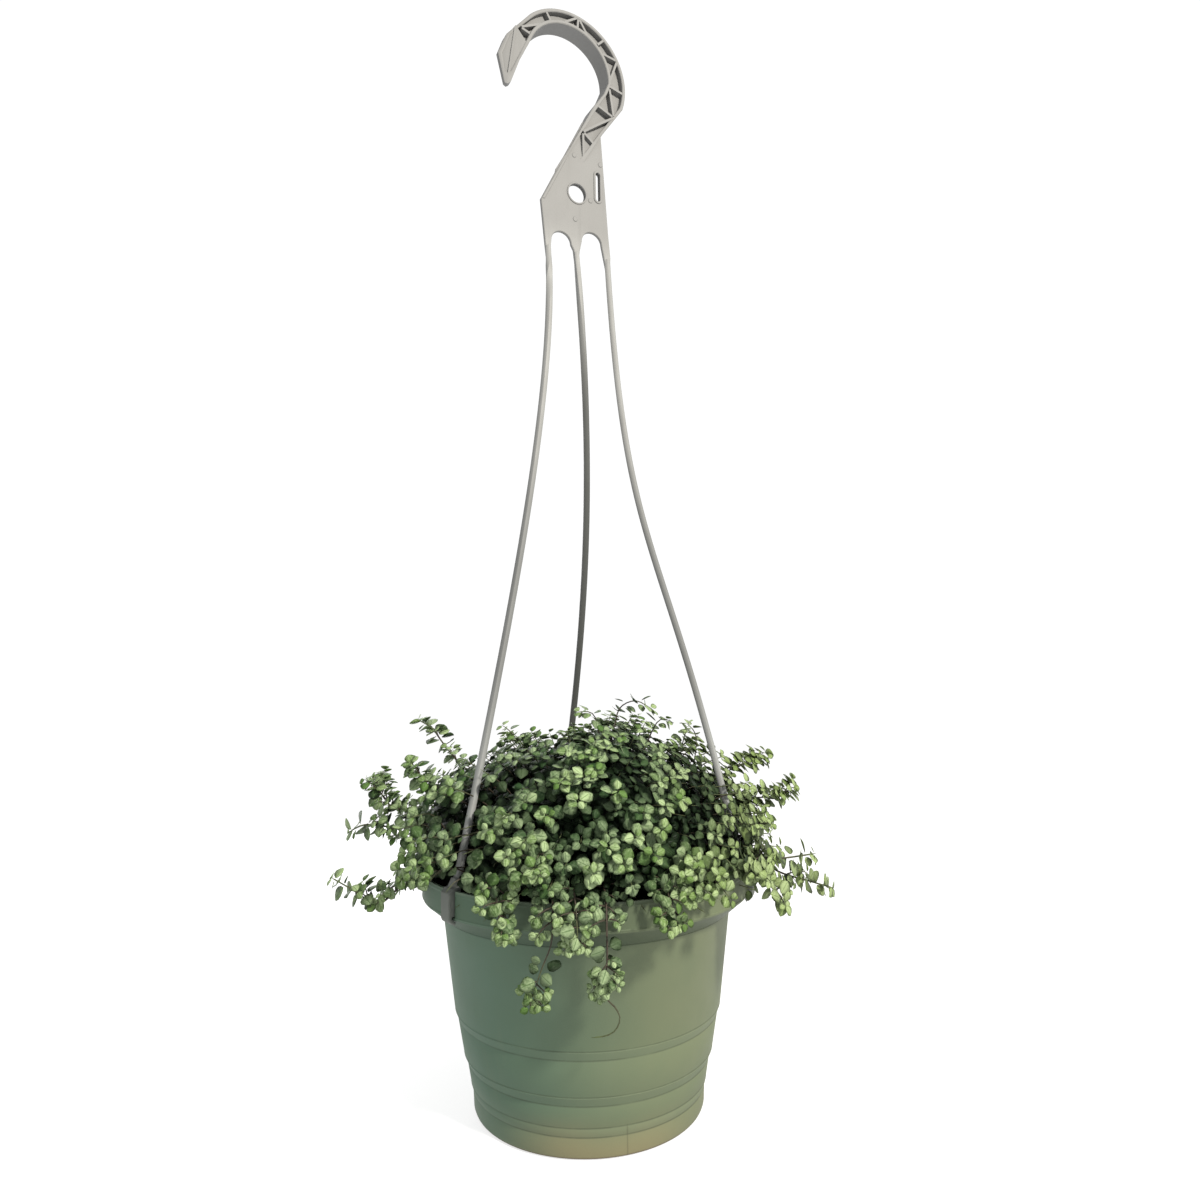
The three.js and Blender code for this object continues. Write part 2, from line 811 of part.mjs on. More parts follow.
// A shoot from the edge of the soil: up beside the dense middle, over the collar and out.
function rimShoot(count) {
  const rise = degrees(4 + 34 * spread(count, 1));
  for (let tries = 0; tries < 12; tries += 1) {
    const turn = degrees(20 + 137.508 * count + (tries % 2 ? 6 : -6) * tries);
    const tip = mound(turn, rise);
    const reach = Math.hypot(tip[0], tip[1]);
    const at = (r, z) => [r * Math.cos(turn), r * Math.sin(turn), z];
    const high = Math.max(tip[2], 122);
    const [x, y] = at(RIM_ROOTS_R, 0);
    const bend = at(RIM_ROOTS_R + (reach - RIM_ROOTS_R) * 0.15, SOIL_MID_Z + (high - SOIL_MID_Z) * 0.6);
    const over = at(RIM_ROOTS_R + (reach - RIM_ROOTS_R) * 0.55, SOIL_MID_Z + (high - SOIL_MID_Z) * 0.95 + 2);
    const parts = shoot(rooted(x, y, [bend, over, tip]), STEM_R, foliage(count + 40, 2));
    if (parts && parts.length === 3) return { parts, x, y };
  }
  return null;
}

// The dense middle of the mound: a rough dome, every point of its surface pushed in or out, and
// kept clear of the straps.
function denseMiddle() {
  const dome = turned([[0, CORE[0][1]], ...CORE, [0, CORE[CORE.length - 1][1] + 1]], CORE_SIDES);
  const p = dome.attributes.position;
  for (let i = 0; i < p.count; i += 1) {
    const [x, y, z] = [p.getX(i), p.getY(i), p.getZ(i)];
    const r = Math.hypot(x, y);
    const lump = Math.sin(x * 0.71 + z * 1.3) * Math.cos(y * 0.83 - z * 0.9);
    const swell = 1 + (CORE_ROUGH * lump) / Math.max(r, 20);
    p.setXYZ(i, x * swell, y * swell, z + (z > CORE[0][1] ? 0.7 * CORE_ROUGH * lump : 0));
  }
  const room = STRAPS.map((strap) => solid(drawn(strapLine(strap), STRAP_R + 2, 5, STRAP_STEPS)));
  return room.reduce((rest, cut) => rest.subtract(cut), solid(dome));
}

// One clump's share of the dense middle: a slice of it, or its round middle.
function slice(turn) {
  const half = Math.PI / SECTORS;
  const shape = new THREE.Shape();
  [
    [SECTOR_R, -1],
    [BIG, -1],
    [BIG, 1],
    [SECTOR_R, 1],
  ].forEach(([r, side], k) => {
    const a = turn + side * (half - SECTOR_GAP / r);
    if (k === 0) shape.moveTo(r * Math.cos(a), r * Math.sin(a));
    else shape.lineTo(r * Math.cos(a), r * Math.sin(a));
  });
  return solid(new THREE.ExtrudeGeometry(shape, { depth: BIG, bevelEnabled: false }));
}

// The shoots of a clump: each a turn, a rise, and how far out it reaches towards the mound's
// outside. They start inside the dense middle and stand out of it.
const SECTOR_SHOOTS = [
  [-15, 9, 1],
  [9, 15, 1],
  [-4, 29, 1],
  [19, 33, 1],
  [-17, 44, 1],
  [6, 50, 1],
  [-8, 65, 1],
];
const MIDDLE_SHOOTS = [
  [10, 80, 1],
  [82, 79, 0.98],
  [154, 80, 1.02],
  [226, 79, 1],
  [298, 80, 1.02],
  [0, 89, 1.06],
];

function clump(core, turn, shoots) {
  const parts = [core];
  shoots.forEach(([side, rise, out], k) => {
    const end = new THREE.Vector3(...mound(degrees(turn + side), degrees(rise)));
    const middle = new THREE.Vector3(0, 0, MOUND_MID_Z + 4);
    const tip = middle.clone().lerp(end, out);
    const from = middle.clone().lerp(end, 0.5);
    const made = shoot([from, tip], BRANCH_R, foliage(11 * k + turn, 1));
    if (made) parts.push(...made);
  });
  return parts;
}

// ---------------------------------------------------------------- the plant in its pot

const POT_GREEN = new THREE.MeshStandardMaterial({ color: 0x75877a, roughness: 0.55 });
const HANGER_GREY = new THREE.MeshStandardMaterial({ color: 0xb4b2ab, roughness: 0.5 });
const SOIL_BROWN = new THREE.MeshStandardMaterial({ color: 0x2c211a, roughness: 0.95 });
const LEAF_GREEN = new THREE.MeshStandardMaterial({ color: 0x7d9a6c, roughness: 0.6 });

const group = new THREE.Group();
const roots = [];

function plant(name, parts, x, y, r = HOLE_R) {
  const body = joined(parts);
  finish(body);
  roots.push([x, y, r]);
  group.add(node(name, body, LEAF_GREEN));
}

const potBody = pot();
const hangerBody = hanger();
[potBody, hangerBody].forEach(finish);
group.add(node("pot", potBody, POT_GREEN));
group.add(node("hanger", hangerBody, HANGER_GREY));

LONG_SHOOTS.forEach((one, count) => {
  const parts = longShoot(one, count);
  if (!parts) throw new Error(one.name + " is not clear");
  plant(one.name, parts, ...one.root);
});

// A clump's own stem, from the soil into its share of the dense middle.
function clumpRoot(x, y) {
  const foot = soilTop(Math.hypot(x, y)) - HOLE_DEEP + GAP;
  return solid(upright(x, y, foot, STEM_R * 1.3, CORE[1][1] - foot, 6));
}

const middle = denseMiddle();
const round = solid(upright(0, 0, 0, MIDDLE_R, BIG, 14));
plant("clump_middle", [...clump(middle.intersect(round), 0, MIDDLE_SHOOTS), clumpRoot(0, 0)], 0, 0, 2);
for (let k = 0; k < SECTORS; k += 1) {
  const turn = 12 + (360 * k) / SECTORS;
  const x = 36 * Math.cos(degrees(turn));
  const y = 36 * Math.sin(degrees(turn));
  const core = middle.intersect(slice(degrees(turn)));
  plant("clump_" + (k + 1), [...clump(core, turn, SECTOR_SHOOTS), clumpRoot(x, y)], x, y, 2);
}

for (let k = 0; k < RIM_SHOOTS; k += 1) {
  const made = rimShoot(k);
  if (made) plant("shoot_" + String(k + 1).padStart(2, "0"), made.parts, made.x, made.y);
}

// The soil last, with a plain hole for every root.
const soil = roots.reduce(
  (plug, [x, y, r]) => plug.subtract(solid(upright(x, y, soilTop(Math.hypot(x, y)) - HOLE_DEEP, r, 30, 5))),
  solid(soilPlug()),
);
group.add(node("soil", soil, SOIL_BROWN));

export default group;
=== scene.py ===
# %% [markdown]
# # A trailing pilea in a hanging pot
#
# A small-leaved pilea fills a green plastic pot. A one-piece grey hanger clips into three notches
# in the pot's collar: three straps rise to a flat plate, and the plate carries an open hook.
# Each cell builds one piece or one finish of it, so the file can be read from top to bottom.

import bmesh
import bpy
import numpy as np
from mathutils import Matrix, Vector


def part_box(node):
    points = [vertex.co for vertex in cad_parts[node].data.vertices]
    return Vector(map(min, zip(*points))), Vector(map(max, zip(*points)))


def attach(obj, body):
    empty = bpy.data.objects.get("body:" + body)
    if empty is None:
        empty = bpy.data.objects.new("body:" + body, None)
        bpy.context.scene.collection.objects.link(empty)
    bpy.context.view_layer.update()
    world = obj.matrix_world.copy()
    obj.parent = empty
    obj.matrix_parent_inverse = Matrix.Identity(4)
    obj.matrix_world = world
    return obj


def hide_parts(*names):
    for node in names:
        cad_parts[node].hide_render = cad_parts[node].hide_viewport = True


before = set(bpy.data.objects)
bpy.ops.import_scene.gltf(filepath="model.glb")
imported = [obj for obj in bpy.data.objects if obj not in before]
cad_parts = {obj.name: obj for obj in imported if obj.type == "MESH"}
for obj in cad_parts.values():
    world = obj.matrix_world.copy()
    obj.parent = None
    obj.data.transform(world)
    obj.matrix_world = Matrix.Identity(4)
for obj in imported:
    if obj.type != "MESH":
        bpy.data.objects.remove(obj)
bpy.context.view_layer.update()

# %% [markdown]
# The solids are drawn in millimetres and Blender works in metres, so every shape below is worked
# out in millimetres, as on a maker's drawing, and is scaled once, when its mesh is filled.

# %% Units and small helpers
MM = 0.001
UP = np.array([0.0, 0.0, 1.0])
WELD = 1e-6


def unit(v):
    """Each vector divided by its own length."""
    return v / np.maximum(np.linalg.norm(v, axis=-1, keepdims=True), 1e-9)


def around(turn, r, z):
    """The points at turns about the pot's axis: r cos, r sin, and their height."""
    return np.stack(np.broadcast_arrays(r * np.cos(turn), r * np.sin(turn), z), axis=-1)


def placed(name, data):
    """A new object that holds a mesh, a curve, a camera or a lamp."""
    made = bpy.data.objects.new(name, data)
    bpy.context.collection.objects.link(made)
    return made


def stood(made, place, right, up, back):
    """Stands an object at a place in mm, with its own three axes as the columns of its matrix."""
    matrix = np.eye(4)
    matrix[:3, :3] = np.stack([right, up, back], axis=1)
    matrix[:3, 3] = np.array(place) * MM
    made.matrix_world = Matrix(matrix.tolist())
    return made


def fill(name, points, quads, materials, material_index=None, smooth=True):
    """A mesh object from an array of points in mm and an array of four-cornered faces."""
    mesh = bpy.data.meshes.new(name)
    quads = np.asarray(quads, dtype=np.int32)
    mesh.vertices.add(len(points))
    mesh.vertices.foreach_set("co", (np.asarray(points, dtype=np.float32) * MM).ravel())
    mesh.loops.add(quads.size)
    mesh.loops.foreach_set("vertex_index", quads.ravel())
    mesh.polygons.add(len(quads))
    mesh.polygons.foreach_set("loop_start", np.arange(0, quads.size, 4, dtype=np.int32))
    mesh.update(calc_edges=True)
    mesh.polygons.foreach_set("use_smooth", np.full(len(quads), smooth))
    if material_index is not None:
        mesh.polygons.foreach_set("material_index", np.asarray(material_index, dtype=np.int32))
    for material in materials:
        mesh.materials.append(material)
    return placed(name, mesh)


def net(rows, columns, close_rows=False, close_columns=False):
    """The faces between the points of a grid, which may close on itself either way."""
    r = np.arange(rows if close_rows else rows - 1)[:, None]
    c = np.arange(columns if close_columns else columns - 1)[None, :]
    r1, c1 = (r + 1) % rows, (c + 1) % columns
    faces = np.stack([r * columns + c, r * columns + c1, r1 * columns + c1, r1 * columns + c], axis=-1)
    return faces.reshape(-1, 4)


def tidy(piece, sharp=None):
    """Merges points that lie on each other and turns every face outwards."""
    work = bmesh.new()
    work.from_mesh(piece.data)
    bmesh.ops.remove_doubles(work, verts=work.verts, dist=WELD)
    bmesh.ops.dissolve_degenerate(work, edges=work.edges, dist=WELD / 10)
    bmesh.ops.recalc_face_normals(work, faces=work.faces)
    work.to_mesh(piece.data)
    work.free()
    if sharp is not None:
        piece.data.set_sharp_from_angle(angle=np.radians(sharp))
    return piece


print("a quarter turn at 10 mm:", around(np.pi / 2, 10.0, 0.0).round(3))

# %% [markdown]
# ## The camera
#
# The camera stands close to the object, a little below its middle, and is tilted up, so the lens is
# wide. Its three axes are worked out from its turn, tilt and roll.

# %% Camera
def look(place, turn, tilt, roll, lens):
    """A camera at a place in mm: forward from turn and tilt, then its right and up are rolled."""
    turn, tilt, roll = np.radians([turn, tilt, roll])
    forward = np.array([np.sin(turn) * np.cos(tilt), np.cos(turn) * np.cos(tilt), np.sin(tilt)])
    right = np.array([np.cos(turn), -np.sin(turn), 0.0])
    up = np.cross(right, forward)
    right, up = np.cos(roll) * right + np.sin(roll) * up, np.cos(roll) * up - np.sin(roll) * right
    eye = stood(placed("camera", bpy.data.cameras.new("camera")), place, right, up, -forward)
    eye.data.lens = lens
    eye.data.sensor_width = 36
    eye.data.clip_start = 0.01
    bpy.context.scene.camera = eye
    return eye


camera = look(place=(0, -451.6, 216.1), turn=1.17, tilt=4.24, roll=-0.89, lens=25.98)
print("camera at", tuple(round(v, 3) for v in camera.location))

# %% [markdown]
# ## Writing shaders as sums
#
# A finish is a small piece of arithmetic: a base colour, times a slow mottle, plus a rim of dust.
# The class below wraps a socket, so that such sums are written as Python expressions.


# %% The shader language
class Wire:
    """A value in a material's node tree, with the usual operators."""

    def __init__(self, tree, socket):
        self.tree, self.socket = tree, socket

    def math(self, operation, other=0.0):
        """One math node, with this value as its first number."""
        return self.tree.node("ShaderNodeMath", {"operation": operation}, {0: self, 1: other})

    def __add__(self, other):
        return self.math("ADD", other)

    def __sub__(self, other):
        return self.math("SUBTRACT", other)

    def __rsub__(self, number):
        return self.tree.node("ShaderNodeMath", {"operation": "SUBTRACT"}, {0: number, 1: self})

    def __mul__(self, other):
        return self.math("MULTIPLY", other)

    def __abs__(self):
        return self.math("ABSOLUTE")


class Finish:
    """One material: its nodes are made by one method, and its surface is one shader."""

    def __init__(self, name):
        self.material = bpy.data.materials.new(name)
        self.material.use_nodes = True
        self.nodes = self.material.node_tree.nodes
        self.links = self.material.node_tree.links
        self.nodes.clear()

    def feed(self, socket, value):
        """Gives a socket a wire, a number, or a colour of three numbers."""
        if isinstance(value, Wire):
            self.links.new(value.socket, socket)
        else:
            socket.default_value = (*value, 1.0) if socket.type == "RGBA" else value

    def node(self, kind, settings, inputs, output=0):
        """Makes a node, sets its options, feeds its inputs and hands back one of its outputs."""
        made = self.nodes.new(kind)
        for key, value in settings.items():
            setattr(made, key, value)
        for key, value in inputs.items():
            self.feed(made.inputs[key], value)
        return Wire(self, made.outputs[output])

    def mix(self, share, first, second):
        """A colour between two colours: 1 - share of the first plus share of the second."""
        return self.node("ShaderNodeMix", {"data_type": "RGBA"}, {0: share, 6: first, 7: second}, output=2)

    def coats(self, colour, *layers):
        """Lays colours over a first one, each by its own share."""
        for share, tint in layers:
            colour = self.mix(share, colour, tint)
        return colour

    def place(self):
        """The place on the piece, in metres."""
        return self.node("ShaderNodeTexCoord", {}, {}, output="Object")

    def axes(self, where=None):
        """The three parts of a place."""
        parts = self.node("ShaderNodeSeparateXYZ", {}, {0: where or self.place()})
        return [Wire(self, socket) for socket in parts.socket.node.outputs]

    def noise(self, scale, detail, rough, stretch=None):
        """Noise of a given number of cells a metre, stretched along the axes if asked."""
        where = self.place()
        if stretch:
            where = self.node("ShaderNodeMapping", {}, {"Vector": where, "Scale": stretch})
        inputs = {"Vector": where, "Scale": scale, "Detail": detail, "Roughness": rough}
        return self.node("ShaderNodeTexNoise", {}, inputs)

    def range(self, value, low, high, to_low=0.0, to_high=1.0):
        """A smooth step: to_low where the value is low, to_high where it is high."""
        inputs = {"Value": value, "From Min": low, "From Max": high, "To Min": to_low, "To Max": to_high}
        return self.node("ShaderNodeMapRange", {"interpolation_type": "SMOOTHSTEP"}, inputs)

    def line(self, value, place):
        """1 along a thin line where the value is at a place, and 0 from half a millimetre off."""
        return self.range(abs(value - place), 0.0005, 0.0001)

    def attribute(self, name):
        """A number that the mesh holds at each of its points."""
        return self.node("ShaderNodeAttribute", {"attribute_name": name}, {}, output="Fac")

    def bump(self, height, depth, strength):
        """A normal tilted by the slope of a height, whose full depth is in metres."""
        return self.node("ShaderNodeBump", {}, {"Height": height, "Distance": depth, "Strength": strength})

    def surface(self, **sockets):
        """The material, with one shader; a socket's name has underscores in place of spaces."""
        inputs = {key.replace("_", " "): value for key, value in sockets.items()}
        shader = self.node("ShaderNodeBsdfPrincipled", {}, inputs)
        self.links.new(shader.socket, self.nodes.new("ShaderNodeOutputMaterial").inputs[0])
        return self.material


print("what a finish can do:", [name for name in vars(Finish) if not name.startswith("_")])

# %% [markdown]
# ## The pot
#
# The pot is one injection-moulded shell. A profile is drawn once, outside and inside, and turned
# about the pot's axis, which is how its mould was made. The steps in its side are short slopes
# with a fine bead at each edge. The three notches for the hanger are made in the same grid: where
# a column of points lies inside a notch, everything above the notch's floor is brought down to it.

# %% The pot's profile
RIM_R, RIM_TOP = 83.0, 116.7
COLLAR_R, COLLAR_Z = 82.5, 104.7
NECK_R, NECK_Z = 72.5, 95.7
FOOT_R, WALL, FLOOR = 57.1, 1.6, 2.6
STEPS = [((57.5, 10.0), (58.6, 14.4)), ((60.2, 24.3), (62.0, 28.9)), ((64.8, 45.5), (66.3, 49.9))]
EARS = np.radians([222.0, 342.0, 102.0])
NOTCH_HALF, NOTCH_Z = 4.5, 105.0
POT_COLUMNS = 224


def groove(r, z, deep=0.14, tall=0.5):
    """A fine line let into the outside: the wall goes in, runs up a little way and comes out."""
    part = 0.3 * tall
    return [(r - 0.05, z - tall), (r - deep, z - part), (r - deep, z + part), (r + 0.05, z + tall)]


def bead(r, z, out=0.22):
    """A fine line that stands out of the wall: a groove turned inside out."""
    return groove(r, z, -out)


def rounded(corner, before, after, size, count=4):
    """The points of a round corner: a quadratic curve from one side of it to the other."""
    corner, before, after = map(np.array, (corner, before, after))
    first = corner + (before - corner) * min(size / np.linalg.norm(before - corner), 0.45)
    last = corner + (after - corner) * min(size / np.linalg.norm(after - corner), 0.45)
    t = np.linspace(0, 1, count)[:, None]
    return ((1 - t) ** 2 * first + 2 * t * (1 - t) * corner + t**2 * last).tolist()


def soften(line, size):
    """Every inner corner of a line of points becomes a round one."""
    out = [list(line[0])]
    for before, corner, after in zip(line[:-2], line[1:-1], line[2:]):
        out += rounded(corner, before, after, size)
    return out + [list(line[-1])]


FOOT_RIDGES = [(0, 0.6), (20, 0.6), (21, 0), (38, 0), (39, 0.9), (50, 0.9), (51.5, 0), (FOOT_R - 2.2, 0.0)]
FOOT_RIDGES += [(FOOT_R - 0.6, 0.6), (FOOT_R, 2.2)]
COLLAR = [(COLLAR_R - 1.4, COLLAR_Z - 1.6), (COLLAR_R - 0.4, COLLAR_Z - 0.9)]
COLLAR += bead(COLLAR_R - 0.25, COLLAR_Z + 0.1)
COLLAR += [(RIM_R - 0.35, RIM_TOP - 2.2), (RIM_R - 0.1, RIM_TOP - 1.6), (RIM_R - 0.2, RIM_TOP)]
outside = soften(FOOT_RIDGES, 0.6)
for step in STEPS:
    outside += [point for corner in step for point in groove(*corner)]
outside += [*bead(NECK_R - 0.35, NECK_Z - 0.2), (NECK_R + 0.7, NECK_Z + 0.5), *soften(COLLAR, 0.4)]
inside = soften(
    [(RIM_R - WALL, RIM_TOP), (COLLAR_R - WALL, COLLAR_Z + 1), (NECK_R - WALL, NECK_Z + 1)]
    + [(below[0] - WALL, below[1]) for below, above in reversed(STEPS)]
    + [(FOOT_R - WALL - 1, FLOOR), (0, FLOOR)],
    0.9,
)
profile = np.array(outside + inside)
print("pot profile:", len(profile), "points, widest", profile[:, 0].max() * 2, "mm")

# %% The pot's mesh
def nearest(turns, places):
    """The smallest angle between each turn and any of the places, the short way round."""
    return np.abs((turns[:, None] - places[None, :] + np.pi) % (2 * np.pi) - np.pi).min(axis=1)


def ear_columns(count, edge=0.002, clear=0.006):
    """Turns about the axis: even ones, with four more at the two walls of each notch."""
    even = np.linspace(0, 2 * np.pi, count, endpoint=False)
    half = NOTCH_HALF / RIM_R
    walls = (EARS[:, None] + np.array([-half - edge, -half, half, half + edge])).ravel() % (2 * np.pi)
    return np.sort(np.concatenate([even[nearest(even, walls) > clear], walls]))


def turned_pot(turns):
    """Point (turn, k) is profile point k turned about Z, and brought down inside a notch."""
    notched = (nearest(turns, EARS) <= NOTCH_HALF / RIM_R + 1e-6)[:, None]
    r = np.broadcast_to(profile[:, 0], (len(turns), len(profile))).copy()
    z = np.broadcast_to(profile[:, 1], (len(turns), len(profile))).copy()
    z = np.where(notched & (z > NOTCH_Z), NOTCH_Z, z)
    # a shell this thin is never quite round: the collar wavers by a tenth of a millimetre
    waver = 0.08 * np.sin(3 * turns + 0.6) + 0.04 * np.sin(5 * turns + 2.0)
    r -= (0.24 - waver[:, None]) * (z > 90) * (r > 60)
    return around(turns[:, None], r, z)


pot_turns = ear_columns(POT_COLUMNS)
pot_points = turned_pot(pot_turns).reshape(-1, 3)
pot_faces = net(len(pot_turns), len(profile), close_rows=True)
print("pot points:", len(pot_points), "faces:", len(pot_faces))

# %% [markdown]
# The pot's plastic is a sage green, bluer on one side. On the lamp's right-front side it is painted
# lighter and olive, partly as sun fading and partly as painted light. It turns to a warm tan at the
# foot, front and right of centre, which is painted light bounced up from the floor. Painted shade
# darkens the shoulder under the collar, fine lines at the grooves of its steps, and the middle of the
# collar, where the leaves' shadows fall. The sloped bands of the steps are painted lighter against
# their own shade, and the rim's top edge has a painted highlight. Very fine grain from the mould
# breaks up the shine. Heights here are in metres, as the shader reads them from the mesh.

# %% The pot's finish
def pot_plastic():
    """Sage turning to olive on the lit side, mottle, streaks, a tan foot of painted bounce light, painted
    shade and light at the steps, shoulder and collar, and a painted rim highlight.
    """
    f = Finish("pot_plastic")
    x, y, z = f.axes()
    mottle, cloud, grain = f.noise(26, 3, 0.6), f.noise(9, 2, 0.5), f.noise(2600, 2, 0.6)
    streak = f.noise(60, 3, 0.65, stretch=(1, 1, 0.12))
    # painted light: the lamp's right-front side is lighter and olive, partly as sun fading
    faded_and_lit_side = f.range(x - y * 0.35 + cloud * 0.05, -0.01, 0.10)
    # painted light: a warm tan at the foot, front and right of centre, for light bounced up from the floor
    low = f.range(z + cloud * 0.022 + mottle * 0.008 - 0.015, 0.026, 0.002)
    low = low * f.range(x + cloud * 0.03, -0.03, 0.012, 0.1, 0.75) * f.range(x, 0.05, 0.02, 0.3, 1.0)
    # painted shade on the shoulder under the collar, which faces down
    shoulder = f.range(z, 0.0945, 0.0965) * f.range(z, 0.1045, 0.1030)
    colour = f.coats(
        (0.062, 0.108, 0.074),
        (faded_and_lit_side, (0.112, 0.130, 0.074)),
        (f.range(mottle, 0.35, 0.75, 0.0, 0.25), (0.080, 0.112, 0.072)),
        (f.range(streak, 0.55, 0.8, 0.0, 0.18), (0.115, 0.140, 0.092)),
        (low, (0.182, 0.156, 0.084)),
        (shoulder * 0.5, (0.035, 0.05, 0.035)),
    )
    for (_, foot), (_, top) in STEPS:
        rising, ending = ((h * MM - 0.0003, h * MM + 0.0003) for h in (foot, top))
        # painted light: the sloped bands of the steps are lighter, against their own shade, but not on the
        # shaded left
        painted_slope_light = f.range(z, *rising) * f.range(z, *reversed(ending)) * f.range(x, -0.04, 0.01, 0.0, 0.2)
        # painted shade: dark lines at the grooves of each step, weaker on the left
        painted_groove_shade = f.range(streak, 0.25, 0.6, 0.4, 1.0) * f.range(x, -0.055, -0.02, 0.2, 1.0) * 0.55
        lines = [(f.line(z, h * MM) * painted_groove_shade, (0.035, 0.042, 0.028)) for h in (foot, top)]
        colour = f.coats(colour, (painted_slope_light, (0.135, 0.170, 0.110)), *lines)
    seam = f.line(x, 0.0165) * f.range(z, 0.016, 0.013) * f.range(y, 0.0, -0.01)
    # painted shadow of the leaves on the middle of the collar
    painted_leaf_shadow = f.range(z, 0.1035, 0.1055) * f.range(abs(x), 0.055, 0.02, 0.2, 0.62)
    colour = f.coats(
        colour,
        (seam * 0.4, (0.05, 0.05, 0.03)),
        (painted_leaf_shadow, (0.045, 0.062, 0.036)),
        # a painted highlight along the top edge of the rim
        (f.range(z, 0.1152, 0.1166) * 0.3, (0.17, 0.20, 0.15)),
        (f.range(z, 0.0016, 0.0004), (0.085, 0.055, 0.03)),
    )
    return f.surface(
        Base_Color=colour,
        Roughness=f.range(mottle + streak * 0.3, 0.3, 0.9, 0.48, 0.62),
        Specular_IOR_Level=0.16,
        Normal=f.bump(grain + streak * 0.6, 0.00005, 0.5),
    )


pot = tidy(fill("pot_shell", pot_points, pot_faces, [pot_plastic()]))
print("pot faces:", len(pot.data.polygons))

# %% [markdown]
# Water leaves the pot through six round holes in its floor. Holes that don't follow the grid of a
# turned shape are cut with a Boolean: six upright cylinders are taken away from the shell.

# %% The drain holes
DRAIN_HOLES, DRAIN_R, DRAIN_RING = 6, 4.0, 30.0


def drills(sides=24, low=-1.0, high=4.0):
    """Upright cylinders: each place on the ring plus a circle of the hole's radius at two heights."""
    places = around(2 * np.pi * (np.arange(DRAIN_HOLES) + 0.5) / DRAIN_HOLES, DRAIN_RING, 0.0)
    circles = around(2 * np.pi * np.arange(sides) / sides, DRAIN_R, np.array([[low], [high]]))
    points = (places[:, None, None] + circles).reshape(-1, 3)
    k = np.arange(sides // 2 - 1)
    lid = np.stack([k, k + 1, sides - 2 - k, sides - 1 - k], axis=1)
    faces = np.concatenate([net(2, sides, close_columns=True), lid, lid + sides])
    steps = 2 * sides * np.arange(DRAIN_HOLES)
    return points, (faces[None] + steps[:, None, None]).reshape(-1, 4)


drill = tidy(fill("drills", *drills(), []))
cut = pot.modifiers.new("drain_holes", "BOOLEAN")
cut.object, cut.operation, cut.solver = drill, "DIFFERENCE", "EXACT"
pot.data = bpy.data.meshes.new_from_object(pot.evaluated_get(bpy.context.evaluated_depsgraph_get()))
pot.modifiers.clear()
bpy.data.objects.remove(drill)
tidy(pot, sharp=32)
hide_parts("pot")
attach(pot, "root")
print("pot faces with its drain holes:", len(pot.data.polygons))

# %% [markdown]
# ## The hanger
#
# The hanger is one grey moulding. Its hook is an I-beam: a thin web, a deep border round it and
# ribs like those of a truss, which make it stiff with little plastic. Its plate is flat, with a
# round hole and a slot. A flat outline with holes is just what Blender's own filled curve is for,
# so each flat part is one, given its thickness and a fine bevel, and then made a mesh.

# %% Flat mouldings from outlines
PLATE_TURN = np.radians(28.0)


def arc(x, y, r, start, end, count=24):
    """Points on a circle from one angle to another, both in degrees."""
    a = np.radians(np.linspace(start, end, count))
    return [(x + r * c, y + r * s) for c, s in zip(np.cos(a), np.sin(a))]


def sheet_points(outlines, thick, bevel):
    """Points (x, y, depth) and faces of a filled outline with its thickness and bevelled edges."""
    curve = bpy.data.curves.new("outline", "CURVE")
    curve.dimensions = "2D"
    curve.fill_mode = "BOTH"
    curve.extrude = thick / 2 - bevel
    curve.bevel_depth = bevel
    curve.bevel_resolution = 0
    curve.offset = -bevel
    for outline in outlines:
        spline = curve.splines.new("POLY")
        spline.points.add(len(outline) - 1)
        spline.points.foreach_set("co", np.array([(x, y, 0, 1) for x, y in outline]).ravel())
        spline.use_cyclic_u = True
    holder = placed("outline", curve)
    made = bpy.data.meshes.new_from_object(holder)
    bpy.data.objects.remove(holder)
    points = np.zeros(len(made.vertices) * 3)
    made.vertices.foreach_get("co", points)
    faces = [tuple(p.vertices) for p in made.polygons]
    bpy.data.meshes.remove(made)
    bpy.data.curves.remove(curve)
    return points.reshape(-1, 3), faces


def in_plate(p):
    """A point (x, y, depth) of the plate's plane, stood up and turned about Z."""
    c, s = np.cos(PLATE_TURN), np.sin(PLATE_TURN)
    return np.stack([p[:, 0] * c + p[:, 2] * s, p[:, 0] * s - p[:, 2] * c, p[:, 1]], axis=-1)


def at_ear(p, turn):
    """A point (radius, height, depth) of the upright plane through an ear."""
    c, s = np.cos(turn), np.sin(turn)
    return np.stack([p[:, 0] * c - p[:, 2] * s, p[:, 0] * s + p[:, 2] * c, p[:, 1]], axis=-1)


class Pile:
    """Collects points and faces of several closed shells for one mesh."""

    def __init__(self):
        self.points, self.faces, self.count = [], [], 0

    def add(self, points, faces):
        """One shell more: its faces count on from the points that are there."""
        self.points.append(np.asarray(points))
        self.faces += [tuple(int(v) + self.count for v in face) for face in faces]
        self.count += len(points)

    def sheet(self, outlines, thick, bevel, stand=in_plate):
        """A flat moulding, stood up in the plate's plane or wherever it is told to stand."""
        points, faces = sheet_points(outlines, thick, bevel)
        self.add(stand(points), faces)

    def piece(self, name, material, sharp):
        """One mesh object of all the shells."""
        mesh = bpy.data.meshes.new(name)
        mesh.from_pydata((np.concatenate(self.points) * MM).tolist(), [], self.faces)
        mesh.materials.append(material)
        mesh.shade_smooth()
        return tidy(placed(name, mesh), sharp)


print("the plate is turned by", round(float(np.degrees(PLATE_TURN))), "degrees")

# %% [markdown]
# The hook bends round two circles whose centres differ a little, so it thickens towards its shank.
# It could be swept along an arc, but then its nose and shank would need shapes of their own. One
# outline, pulled in by a few millimetres, gives the border and the web alike.

